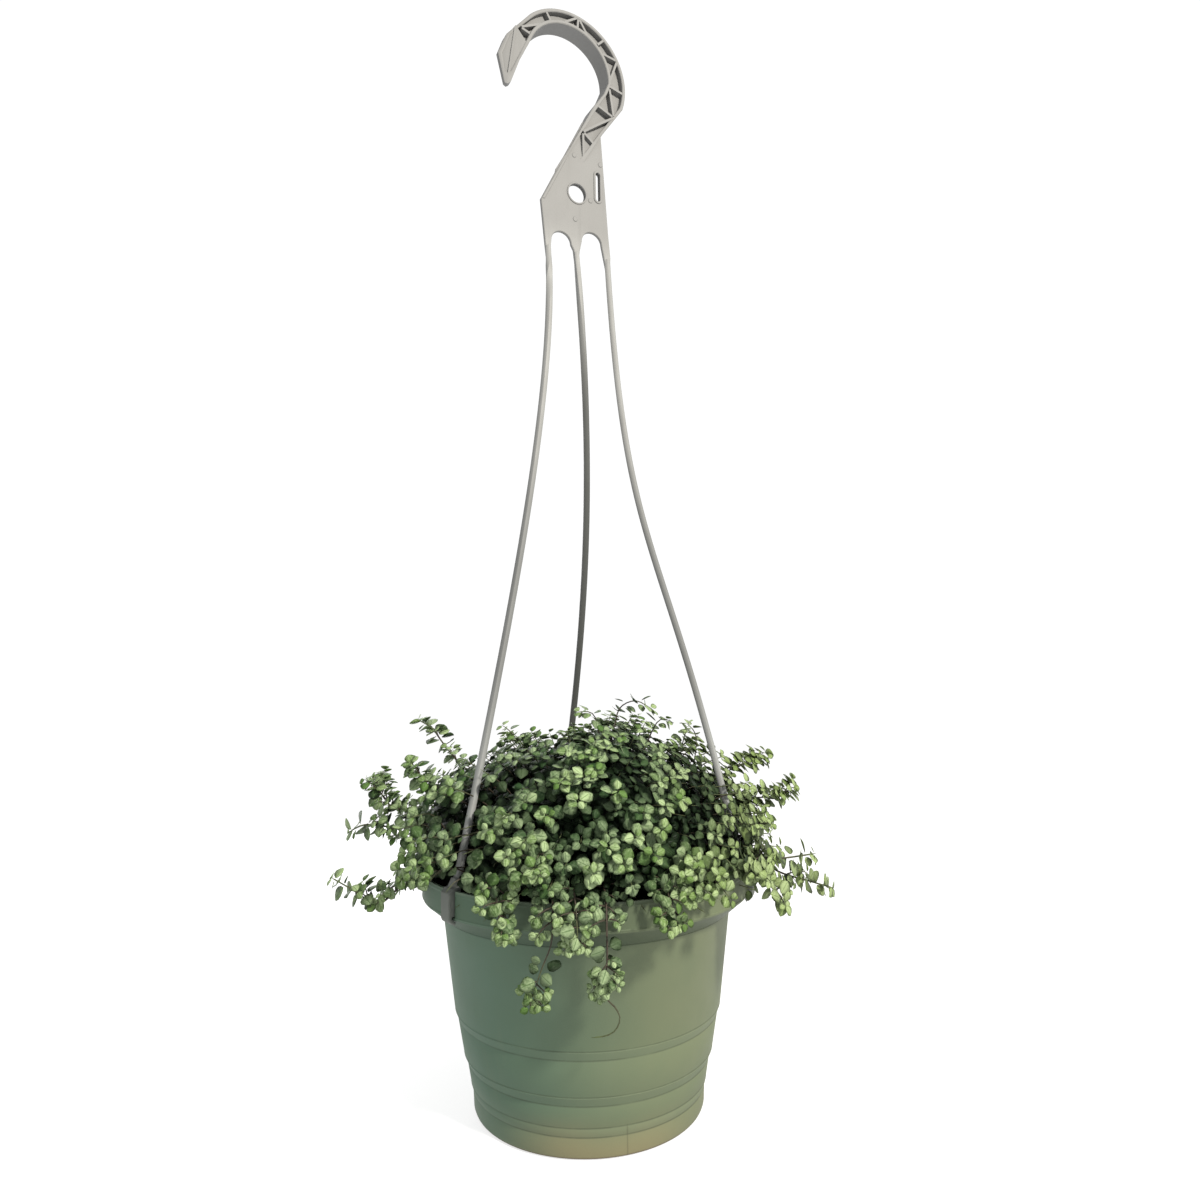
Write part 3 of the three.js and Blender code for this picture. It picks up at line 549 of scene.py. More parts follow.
# %% The hook's outline and its nose
HOOK_DEEP, BORDER, RECESS, PLATE_THICK = 10.5, 1.9, 3.2, 2.0
HALF_DEEP = HOOK_DEEP / 2
RIDGE, BROW, NOSE, NOSE_INSIDE = (-37.0, 551.0), (-41.7, 544.8), (-45.8, 534.6), (-34.6, 532.5)
THICK_Z, THIN_Z = 511.0, 488.5
INNER, INNER_R, OUTER, OUTER_R = (-5.9, 536.8), 24.0, (-5.1, 534.8), 34.0


def hook_outline(n):
    """Nose, inner arc, shank and outer arc, all pulled in by n mm."""
    line = [(-39.0, 520.1 + 3 * n), (NOSE_INSIDE[0] - 0.8 * n, NOSE_INSIDE[1])]
    line += arc(*INNER, INNER_R + n, 158, -2, 48)
    line += [(15.2 + n, 529), (8.6 + n, 519.5 - 0.4 * n), (-14.0 + n, 476.2 + 2.6 * n)]
    line += [(-2.6 - n, 476.2 + 2.6 * n), (3.6 - n, 487.5 + n), (14.2 - n, 505.5)]
    line += arc(*OUTER, OUTER_R - n, -20, 134, 56)
    line += [(BROW[0] + 0.9 * n, BROW[1]), (NOSE[0] + 1.1 * n, NOSE[1]), (-42.2, 519.3 + 3 * n)]
    return line + [(-40.6, 518.8 + 3 * n)]


def half_depth(x, y):
    """Full depth, but less on the nose's two facets and where the shank thins to the plate."""
    slopes = ((0.311, 0.0772), (0.134, 0.0993))
    facets = [HALF_DEEP + a * (x - RIDGE[0]) + b * (y - RIDGE[1]) for a, b in slopes]
    nose = np.where(x < -20, np.minimum(*facets), HALF_DEEP)
    share = np.clip((y - THIN_Z) / (THICK_Z - THIN_Z), -0.25, 1)
    shank = PLATE_THICK / 2 + (HALF_DEEP - PLATE_THICK / 2) * share
    return np.minimum(np.minimum(nose, HALF_DEEP), shank)


def shaped(p, spare=0.0, least=0.3):
    """Scales each point's depth so that a full one lies on the hook's own face."""
    half = np.maximum(half_depth(p[:, 0], p[:, 1]) - spare, least)
    return np.stack([p[:, 0], p[:, 1], p[:, 2] * half / HALF_DEEP], axis=-1)


def nose_block(sunk=0.7):
    """The nose is solid: two facets on each side meet on a ridge, a little lower than its border."""
    left = [RIDGE, BROW, NOSE, (-42.2, 519.3), (-40.75, 518.9)]
    right = [(-39.0, 520.1), NOSE_INSIDE, (-29.8, 542.6)]
    flat = np.array(left + right)
    half = half_depth(flat[:, 0], flat[:, 1])[:, None] - sunk
    flat -= unit(flat - [-39.5, 536.0]) * sunk
    count = len(flat)
    points = np.concatenate([np.hstack([flat, half]), np.hstack([flat, -half])])
    front = [[0, 1, 2, 3, 4], [0, 4, 5, 6, 7]]
    back = [[count + k for k in reversed(face)] for face in front]
    sides = [[k, (k + 1) % count, count + (k + 1) % count, count + k] for k in range(count)]
    return points, front + back + sides


print("hook outline:", len(hook_outline(0)), "points")

# %% The hook's ribs and web
def rib_points(start, end, half_wide=0.6, count=5):
    """A rib as a grid: its section is a thin taper, carried from one border to the other."""
    start, end = np.array(start, dtype=float), np.array(end, dtype=float)
    along = (end - start) / np.linalg.norm(end - start)
    across = np.array([-along[1], along[0]])
    section = [(-1.3, 0), (-1, 1), (1, 1), (1.3, 0), (1, -1), (-1, -1)]
    rings = []
    for share in np.linspace(0, 1, count):
        p = start + (end - start) * share + along * (0.9 - 1.2 * share)
        rings += [[*(p + across * w * half_wide), d * HALF_DEEP] for w, d in section]
    sides = len(section)
    last = sides * (count - 1)
    caps = [[0, 1, 2, 3], [0, 3, 4, 5]]
    caps += [[last + k for k in face] for face in ((0, 3, 2, 1), (0, 5, 4, 3))]
    return np.array(rings), net(count, sides, close_columns=True).tolist() + caps


def held(p, inside=0.8):
    """Brings a rib's end between the two round borders, a little way into each."""
    for centre, low, high in ((INNER, INNER_R + inside, 99.0), (OUTER, 0.0, OUTER_R - inside)):
        away = np.array(p, dtype=float) - centre
        reach = np.linalg.norm(away)
        p = centre + away * np.clip(reach, low, high) / reach
    return p


ROUND_RIBS = [
    (RIDGE, (-29, 548)), (RIDGE, (-22, 556)), ((-20, 565), (-16.5, 559)), ((0, 568), (-8.5, 562)),
    ((0, 568), (-0.7, 561)), ((0, 568), (5.5, 559)), ((16.5, 561), (11.5, 556)),
    ((24.5, 551), (14.5, 552)), ((24.5, 551), (18.8, 537)), ((27.9, 532.4), (18.8, 534.5)),
]
SHANK_RIBS = [
    ((21.2, 517.0), (18.8, 533.0)), ((21.2, 517.0), (11.2, 521.0)), ((21.2, 517.0), (2.6, 504.2)),
    ((2.6, 504.2), (10.4, 499.2)), ((2.6, 504.2), (4.0, 490.0)),
]
TRUSS = [(held(start), held(end)) for start, end in ROUND_RIBS] + SHANK_RIBS
hanger_shells = Pile()
hook_sides = [hook_outline(0), hook_outline(BORDER)]
hanger_shells.sheet(hook_sides, HOOK_DEEP, 0.35, lambda p: in_plate(shaped(p)))
hanger_shells.sheet([hook_outline(0.6)], HOOK_DEEP, 0.2, lambda p: in_plate(shaped(p, RECESS, 0.9)))
nose, nose_faces = nose_block()
hanger_shells.add(in_plate(nose), nose_faces)
ridge, ridge_faces = rib_points((RIDGE[0] - 0.3, RIDGE[1] - 1.6), (-40.5, 522.0), half_wide=0.5)
hanger_shells.add(in_plate(shaped(ridge, 0.05)), ridge_faces)
for start, end in TRUSS:
    rib, rib_faces = rib_points(start, end)
    hanger_shells.add(in_plate(shaped(rib, 0.15)), rib_faces)
print("hook points:", hanger_shells.count)

# %% [markdown]
# The plate is a thin sheet between the hook and the straps. Its hole and its slot have raised lips,
# and four round marks show where the mould's pins pushed it out.

# %% The plate
STUB, STUB_TIP = 438.0, 430.0
SLOT_X, SLOT_LOW, SLOT_HIGH, SLOT_R, SLOT_LIP_R = 12.6, 470.0, 483.6, 1.3, 2.5
HOLE, HOLE_R, HOLE_LIP_R = (-0.3, 470.0), 5.2, 6.1
MARKS, MARK_R = [(-1.8, 491.1), (14.3, 489.9), (7.8, 467.9), (-1.7, 455.2)], 1.4


def slot_outline(r):
    """A slot: half a circle at its top and half a circle at its foot."""
    return arc(SLOT_X, SLOT_HIGH, r, 0, 180, 10) + arc(SLOT_X, SLOT_LOW, r, 180, 360, 10)


def hole_outline(r):
    """A circle about the plate's hole."""
    return arc(*HOLE, r, 0, 352, 40)


# down the left edge, round the two arches between the straps' stubs, and up the right edge
plate_outline = [(-21.8, 461.8), (-19.5, STUB), (-18.6, STUB_TIP), (-17.0, STUB_TIP)]
plate_outline += arc(-10, 440.6, 5.9, 180, 0, 18)
plate_outline += [(-2.6, STUB), (-1.6, STUB_TIP), (0.0, STUB_TIP), (1.0, STUB)]
plate_outline += arc(8.5, 444, 6.1, 180, 0, 18)
plate_outline += [(17.6, STUB_TIP), (19.2, STUB_TIP), (20.1, STUB)]
plate_outline += [(18.9, 450.6), (17.2, 476), (15.1, 506.6), (4, 512)]
hanger_shells.sheet([plate_outline, hole_outline(HOLE_R), slot_outline(SLOT_R)], PLATE_THICK, 0.3)
hanger_shells.sheet([slot_outline(SLOT_LIP_R), slot_outline(SLOT_R)], PLATE_THICK + 1.0, 0.2)
hanger_shells.sheet([hole_outline(HOLE_LIP_R), hole_outline(HOLE_R)], PLATE_THICK + 1.0, 0.2)
for mark in MARKS:
    hanger_shells.sheet([arc(*mark, MARK_R, 0, 345, 24)], PLATE_THICK + 0.7, 0.3)
# a raised strip along the plate's slanted left edge, from the shank to the left corner
slanted = [(-21.6, 462.0), (-7.9, 488.0), (-6.2, 488.0), (-19.6, 462.2)]
hanger_shells.sheet([slanted], PLATE_THICK + 0.7, 0.3)
print("with the plate:", hanger_shells.count)

# %% [markdown]
# Each strap is a cubic Bézier curve from the plate to its ear. A rounded section is carried along
# it: at every station the curve's own direction and the level direction across it give the plane
# in which the section is drawn. The strap widens a little where it runs into the plate.

# %% The straps
# For each ear: the strap's place across the plate, then its upper and its lower handle, each as its
# share of the way out, its share of the height, and its bow to the side in mm.
STRAPS = [
    (-17.6, (-0.06, 0.76, 2.7), (0.51, 0.33, -1.7)),
    (18.4, (0.11, 0.47, 2.0), (0.44, 0.54, -0.7)),
    (-0.8, (0.0, 0.62, -8.9), (0.45, 0.4, -11.3)),
]
STRAP_TOP, STRAP_FOOT, STRAP_FOOT_R = 437.0, 114.0, 79.8
STRAP_WIDE, STRAP_DEEP = 1.72, 1.5


def bezier(controls, t):
    """Cubic Bézier: the four controls weighed by Bernstein's polynomials."""
    t = t[:, None]
    a, b, c, d = controls
    return (1 - t) ** 3 * a + 3 * t * (1 - t) ** 2 * b + 3 * t**2 * (1 - t) * c + t**3 * d


def strap_line(ear, top, upper, lower, count=90):
    """The curve from the plate to an ear, with a handle for each end."""
    start, end = around(PLATE_TURN, top, STRAP_TOP), around(ear, STRAP_FOOT_R, STRAP_FOOT)
    out = (end - start) * [1, 1, 0]
    side = unit(np.array([-out[1], out[0], 0.0]))
    handles = []
    for share, height, bow in (upper, lower):
        level = start * [1, 1, 0] + out * share + side * bow
        handles.append(level + UP * (STRAP_FOOT + (STRAP_TOP - STRAP_FOOT) * height))
    return bezier([start, *handles, end], np.linspace(0, 1, count))


def carried(line, wide, deep, sides, square, nudge=1e-9):
    """A section carried along a line: |x/wide|^n + |y/deep|^n = 1 in each cross plane."""
    ahead = unit(np.gradient(line, axis=0))
    # an upright line has no level direction of its own, so the nudge gives it one
    across = unit(np.cross(ahead, UP) + nudge * np.array([1, 2, 0]))
    over = np.cross(across, ahead)
    a = 2 * np.pi * np.arange(sides) / sides
    c, s = np.cos(a), np.sin(a)
    r = (np.abs(c) ** square + np.abs(s) ** square) ** (-1 / square)
    x, y = np.outer(wide, r * c)[:, :, None], np.outer(deep, r * s)[:, :, None]
    return (line[:, None] + across[:, None] * x + over[:, None] * y).reshape(-1, 3)


def strap(line, sides=16, square=3.2):
    """A rounded section along the strap, wider at the plate and deeper at the ear; fans close it."""
    run = np.linspace(0, 1, len(line))
    wide, deep = STRAP_WIDE + 0.12 * np.exp(-run / 0.02), STRAP_DEEP + 0.4 * np.exp(-(1 - run) / 0.05)
    points = np.concatenate([carried(line, wide, deep, sides, square), line[:1], line[-1:]])
    count = len(line) * sides
    faces = net(len(line), sides, close_columns=True).tolist()
    faces += [[count, (k + 1) % sides, k] for k in range(sides)]
    last = count - sides
    faces += [[count + 1, last + k, last + (k + 1) % sides] for k in range(sides)]
    return points, faces


strap_lines = [strap_line(ear, *row) for ear, row in zip(EARS, STRAPS)]
for line in strap_lines:
    hanger_shells.add(*strap(line))
print("strap ends at radius", [round(float(np.hypot(*line[-1][:2])), 1) for line in strap_lines])

# %% [markdown]
# At its foot each strap ends in a tab. It fills a notch of the collar, and its heel reaches under
# the shoulder, so that the pot hangs from it. A side outline, given its width, makes it.

# %% The tabs in the collar's notches
TAB = [
    (78.2, 118.3), (78.2, 105.3), (83.0, 105.3), (83.0, 104.3), (80.9, 102.6), (81.4, 101.3),
    (84.3, 103.3), (84.9, 104.7), (84.9, 115.9), (83.1, 117.7),
]
HEAD = [(78.2, 106.3), (79.7, 106.3), (79.7, 114.7), (78.2, 114.7)]
NECK = [(80.2, 117.0), (83.0, 117.0), (80.4, 121.5), (79.2, 121.5)]
for ear in EARS:
    for outline, thick, bevel in ((TAB, 6.6, 0.4), (HEAD, 11.0, 0.3), (NECK, 3.6, 0.4)):
        hanger_shells.sheet([outline], thick, bevel, lambda p: at_ear(p, ear))
print("hanger points:", hanger_shells.count)

# %% [markdown]
# The hanger's plastic is a light, warm grey with a satin skin. Flow lines from the mould run along
# the straps. The plate is painted greyer than the straps, as painted shade against the stronger lamp
# light it gets. Painted shade makes the straps darkest halfway down, painted light makes them paler
# again low down, where the leaves shade them, and the tabs are darker and greener. Painted shade
# keeps the rear strap dark, because it hangs in the shade of the plant.

# %% The hanger's finish
def hanger_plastic():
    """Pale straps under a plate painted greyer as shade, with mottle and flow lines; painted shade and light
    by height, and painted shade at the rear.
    """
    f = Finish("hanger_plastic")
    x, y, z = f.axes()
    mottle, grain = f.noise(45, 3, 0.6), f.noise(3200, 2, 0.6)
    flow = f.noise(320, 3, 0.6, stretch=(1, 1, 0.06))
    # painted shade: the rear strap, which hangs in the shade of the plant
    rear = f.range(y, -0.004, -0.001) * f.range(x, 0.012, 0.006) * f.range(z, 0.432, 0.345)
    colour = f.coats(
        (0.190, 0.192, 0.185),
        # painted shade: the plate greyer than the straps, against the stronger lamp light on it
        (f.range(z, 0.43, 0.455), (0.136, 0.136, 0.132)),
        (f.range(mottle, 0.35, 0.7, 0.0, 0.3), (0.142, 0.141, 0.135)),
        (f.range(flow, 0.5, 0.75, 0.0, 0.25), (0.110, 0.109, 0.105)),
        # painted shade: the straps darkest halfway down
        (f.range(z, 0.37, 0.26, 0.0, 0.8), (0.100, 0.103, 0.100)),
        # painted light: the straps paler again low down, where the leaves shade them
        (f.range(z, 0.22, 0.15), (0.205, 0.212, 0.205)),
        (f.range(z, 0.125, 0.115), (0.098, 0.108, 0.096)),
        (rear * 0.88, (0.036, 0.038, 0.035)),
    )
    return f.surface(
        Base_Color=colour,
        Roughness=f.range(mottle, 0.3, 0.7, 0.60, 0.70),
        Specular_IOR_Level=0.25,
        Normal=f.bump(grain + flow * 0.8, 0.00005, 0.5),
    )


hanger = hanger_shells.piece("hanger_moulding", hanger_plastic(), sharp=38)
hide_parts("hanger")
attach(hanger, "root")
print("hanger faces:", len(hanger.data.polygons))

# %% [markdown]
# ## The soil
#
# Potting mix is a heap of crumbs. A disc of rings and spokes is raised by sums of sines of several
# sizes, so no two crumbs look alike and nothing random is needed. It sits just under the collar.

# %% The soil
SOIL_R, SOIL_EDGE, SOIL_MID = 73.7, 100.0, 103.0
SOIL_SIDE = [(70.4, 96.8), (64.6, 45.5), (58.1, 24.3), (55.3, 10.0), (53.9, 2.9), (0.3, 2.9)]


def soil_top(r):
    """The soil's height falls from its middle with the square of the radius."""
    return SOIL_MID - (SOIL_MID - SOIL_EDGE) * (r / SOIL_R) ** 2


def soil_grid(rings=46, spokes=150):
    """Top: height from the radius plus crumbs. Side: the pot's inside with a 0.5 mm gap."""
    r = SOIL_R * np.linspace(0.004, 1, rings)[:, None]
    a = np.linspace(0, 2 * np.pi, spokes, endpoint=False)[None, :]
    x, y = r * np.cos(a), r * np.sin(a)
    crumbs = np.sin(x * 1.9 + 2 * np.sin(y * 1.3)) * np.cos(y * 2.1 + np.sin(x * 1.7))
    crumbs += 0.6 * np.sin(x * 4.1 + y * 3.3) * np.cos(y * 4.7 - x * 2.9)
    rise = 0.85 * crumbs * np.clip((SOIL_R - r) / 4, 0, 1)
    top = np.stack([x, y, soil_top(r) + rise - 1.1], axis=-1)
    walls = [around(a[0], q, h) for q, h in SOIL_SIDE]
    return np.concatenate([top, np.stack(walls)])


def potting_mix():
    """Near black to brown with the crumbs, and pale flecks of bark at the cells of a Voronoi pattern."""
    f = Finish("potting_mix")
    crumb = f.noise(420, 4, 0.7)
    fleck = f.node("ShaderNodeTexVoronoi", {"feature": "F1"}, {"Vector": f.place(), "Scale": 330.0})
    colour = f.coats(
        (0.012, 0.009, 0.006),
        (f.range(crumb, 0.35, 0.7), (0.06, 0.042, 0.028)),
        (f.range(fleck, 0.16, 0.1, 0.0, 0.5), (0.16, 0.12, 0.08)),
    )
    return f.surface(Base_Color=colour, Roughness=0.95, Normal=f.bump(crumb, 0.0012, 0.8))


soil_rows = soil_grid()
rings, spokes, _ = soil_rows.shape
soil_faces = net(rings, spokes, close_columns=True).tolist()
soil_faces.append(list(range(spokes))[::-1])
soil_faces.append([(rings - 1) * spokes + k for k in range(spokes)])
soil_pile = Pile()
soil_pile.add(soil_rows.reshape(-1, 3), soil_faces)
soil = soil_pile.piece("soil_crumbs", potting_mix(), sharp=70)
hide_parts("soil")
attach(soil, "root")
print("soil:", rings, "rings of", spokes)

# %% [markdown]
# ## The leaves
#
# One leaf is almost round, four to six millimetres long, slightly cupped, folded along its middle
# vein and thin. It is worked out once, as a grid of stations along its length with four points
# round each section, and then copied to thousands of places by multiplying whole arrays. Old
# leaves deep in the plant are a plainer copy with fewer stations.


# %% One leaf
def tube_faces(rows):
    """The faces of a row of four-cornered sections, with one face over each end, all outwards."""
    last = 4 * (rows - 1)
    caps = [[0, 3, 2, 1], [last, last + 1, last + 2, last + 3]]
    return np.concatenate([net(rows, 4, close_columns=True), caps])[:, ::-1]


def leaf_shape(along, half):
    """Half width from a rounded oval; the blade dips along the vein and droops towards its tip."""
    along, half = np.array(along)[:, None], np.array(half)[:, None]
    across = np.array([-1.0, 0.0, 1.0, 0.0])
    dip = np.array([0.11, -0.03, 0.11, -0.14])
    x, across = np.broadcast_arrays(along, across)
    z = half * dip - 0.2 * x**2 + 0.12 * x
    places = np.stack([x, half * across, z], axis=-1).reshape(-1, 3)
    uv = np.stack([x, 0.5 + 0.5 * across], axis=-1).reshape(-1, 2)
    return places, uv, tube_faces(len(along))


YOUNG_LEAF = leaf_shape([0.0, 0.12, 0.34, 0.62, 0.86, 1.0], [0.04, 0.28, 0.46, 0.46, 0.26, 0.03])
OLD_LEAF = leaf_shape([0.0, 0.25, 0.68, 1.0], [0.05, 0.42, 0.44, 0.05])
OLD_AGE = 0.8
print("faces of a young and of an old leaf:", len(YOUNG_LEAF[2]), len(OLD_LEAF[2]))

# %% [markdown]
# The shoots grow by rule. Along each stem the leaves stand in pairs, each pair a quarter turn from
# the last, small and close together at the tip, larger and further apart below. Every leaf turns
# its face to the light: up, outwards, and a little along its stem.

# %% Even numbers and smooth lines
STRIDES = [0.618034, 0.754878, 0.56984, 0.819173, 0.43016]


def spread(count, series):
    """Evenly spread numbers between 0 and 1: multiples of an irrational number, without the whole."""
    return (0.5 + np.asarray(count) * STRIDES[series]) % 1


def smooth_line(points, every):
    """A Catmull-Rom curve through the points, then stations at even distances along it."""
    p = np.asarray(points, dtype=float)
    p = np.concatenate([2 * p[:1] - p[1:2], p, 2 * p[-1:] - p[-2:-1]])
    t = np.linspace(0, 1, 12, endpoint=False)[None, :, None]
    a, b, c, d = p[:-3, None], p[1:-2, None], p[2:-1, None], p[3:, None]
    curve = 0.5 * (2 * b + (c - a) * t + (2 * a - 5 * b + 4 * c - d) * t**2 + (3 * b - a - 3 * c + d) * t**3)
    curve = np.concatenate([curve.reshape(-1, 3), p[-2:-1]])
    run = np.concatenate([[0], np.cumsum(np.linalg.norm(np.diff(curve, axis=0), axis=1))])
    even = np.linspace(0, run[-1], max(int(run[-1] / every), 4))
    return np.stack([np.interp(even, run, curve[:, k]) for k in range(3)], axis=1), run[-1]


print("evenly spread numbers:", spread([1, 2, 3], 0).round(3))

# %% [markdown]
# The outside of the plant is a squared-off dome with a soft crown. It could be a mesh that leaves
# are scattered over, but a formula also tells how deep inside it a leaf lies, and so how old it is
# and how dark it is painted for the shade there.

# %% The dome
DOME_WIDE, DOME_TALL, DOME_FOOT, DOME_POWER = 99.0, 84.0, 110.0, 2.6


def mound(turn, rise):
    """The dome's point in a direction: reach = (|cos/wide|^n + |sin/tall|^n)^(-1/n), with a crown."""
    c, s = np.cos(rise), np.sin(rise)
    reach = np.abs(c / DOME_WIDE) ** DOME_POWER + np.abs(s / DOME_TALL) ** DOME_POWER
    reach = reach ** (-1 / DOME_POWER)
    x, y = reach * c * np.cos(turn), reach * c * np.sin(turn)
    crown = np.exp(-(((x - 20) / 18) ** 2) - (y / 60) ** 2)
    dip = np.exp(-(((x - 46) / 9) ** 2))
    return np.stack([x, y, DOME_FOOT + reach * s * (0.88 + 0.125 * crown - 0.05 * dip)], axis=-1)


def shade_depth_inside(place):
    """How deep inside the dome a place lies, from 0 near its outside to 1 some 20 mm in."""
    flat, high = np.hypot(place[:, 0], place[:, 1]), place[:, 2] - DOME_FOOT
    outside = mound(np.arctan2(place[:, 1], place[:, 0]), np.arctan2(np.maximum(high, 0.0), flat))
    share = np.hypot(flat, high) / np.linalg.norm(outside - [0, 0, DOME_FOOT], axis=1)
    return np.clip((0.97 - share) / 0.17, 0, 1)


print("top of the dome:", mound(0.0, np.pi / 2).round(1))

# %% [markdown]
# Leaves grow round what is in their way. A leaf whose middle comes too close to a strap, to the pot
# or to the soil is left out, and so is one that would hang in front of a front strap.

# %% Keeping clear of the pot and the straps
PAST_COLLAR = 85.0
STRAP_POINTS = np.concatenate(strap_lines)
# Leaves are combed away from in front of the two front straps: the way out, and how far down.
COMBED = [(strap_lines[0], (0.14, -0.98, 0.13), 127.0), (strap_lines[1], (-0.17, -0.97, 0.13), 148.0)]


def in_front(middle, size, line, aim, lowest):
    """Near the ray that leaves any of the strap's points: a cross product gives the distance."""
    way, aim = middle[:, None] - line[line[:, 2] > lowest][None], unit(np.array(aim))
    beside = np.linalg.norm(np.cross(way, aim), axis=2)
    return np.any((way @ aim > 0) & (beside < 0.4 * size[:, None] + 1.6), axis=1)


def in_the_way(middle, size):
    """True for leaves that would touch a strap, hide a combed one, or touch the collar or the soil."""
    strap = np.linalg.norm(middle[:, None] - STRAP_POINTS[None], axis=2).min(axis=1) < 0.5 * size + 2.2
    for line, aim, lowest in COMBED:
        strap = strap | in_front(middle, size, line, aim, lowest)
    r, z = np.hypot(middle[:, 0], middle[:, 1]), middle[:, 2]
    rim = (np.abs(r - RIM_R + WALL / 2) < 1.2 + 0.35 * size) & (z < RIM_TOP + 0.3 * size)
    # the pot's side: as wide as the collar above the neck, and leaning out from the foot below it
    side = np.where(z > NECK_Z, PAST_COLLAR, FOOT_R - 0.1 + 0.17 * z) + 0.3 * size
    wall = (r > 60) & (r < PAST_COLLAR + 0.2 * size) & (r < side)
    wall = wall & (z < RIM_TOP - 6) & (r > NECK_R - 12 + 0.12 * z)
    soil = (r < RIM_R) & (z < SOIL_MID + 0.3 * size) & (z > 90)
    return strap | rim | wall | soil


print("a leaf inside the collar is in the way:", in_the_way(np.array([[80.0, 0.0, 100.0]]), np.array([5.0])))

# %% [markdown]
# A shoot gathers stems and leaves, and makes one mesh of them. The leaves could be instances on
# points, but arrays of copies stay plain meshes, which any program can read.

# %% One shoot
# The order of the three finishes on a shoot, the length of a leaf, and the most pairs on a stem.
LEAF, STEM, SHADE_CORE = 0, 1, 2
LEAF_LONG, PAIRS = 5.55, 24
# The distances between pairs of leaves from the tip down.
FIRST_GAP, GAP_GROWTH, WIDEST_GAP = 1.0, 0.72, 5.0
# In front of this place the mound's leaves end at an edge, so that they don't cover the collar.
FRONT_Y = -45.0


def pair_places():
    """How far from the tip each pair stands: the gaps grow by equal steps up to the widest one."""
    gaps = np.clip(FIRST_GAP + GAP_GROWTH * np.arange(PAIRS), 0, WIDEST_GAP)
    return np.cumsum(gaps) - FIRST_GAP


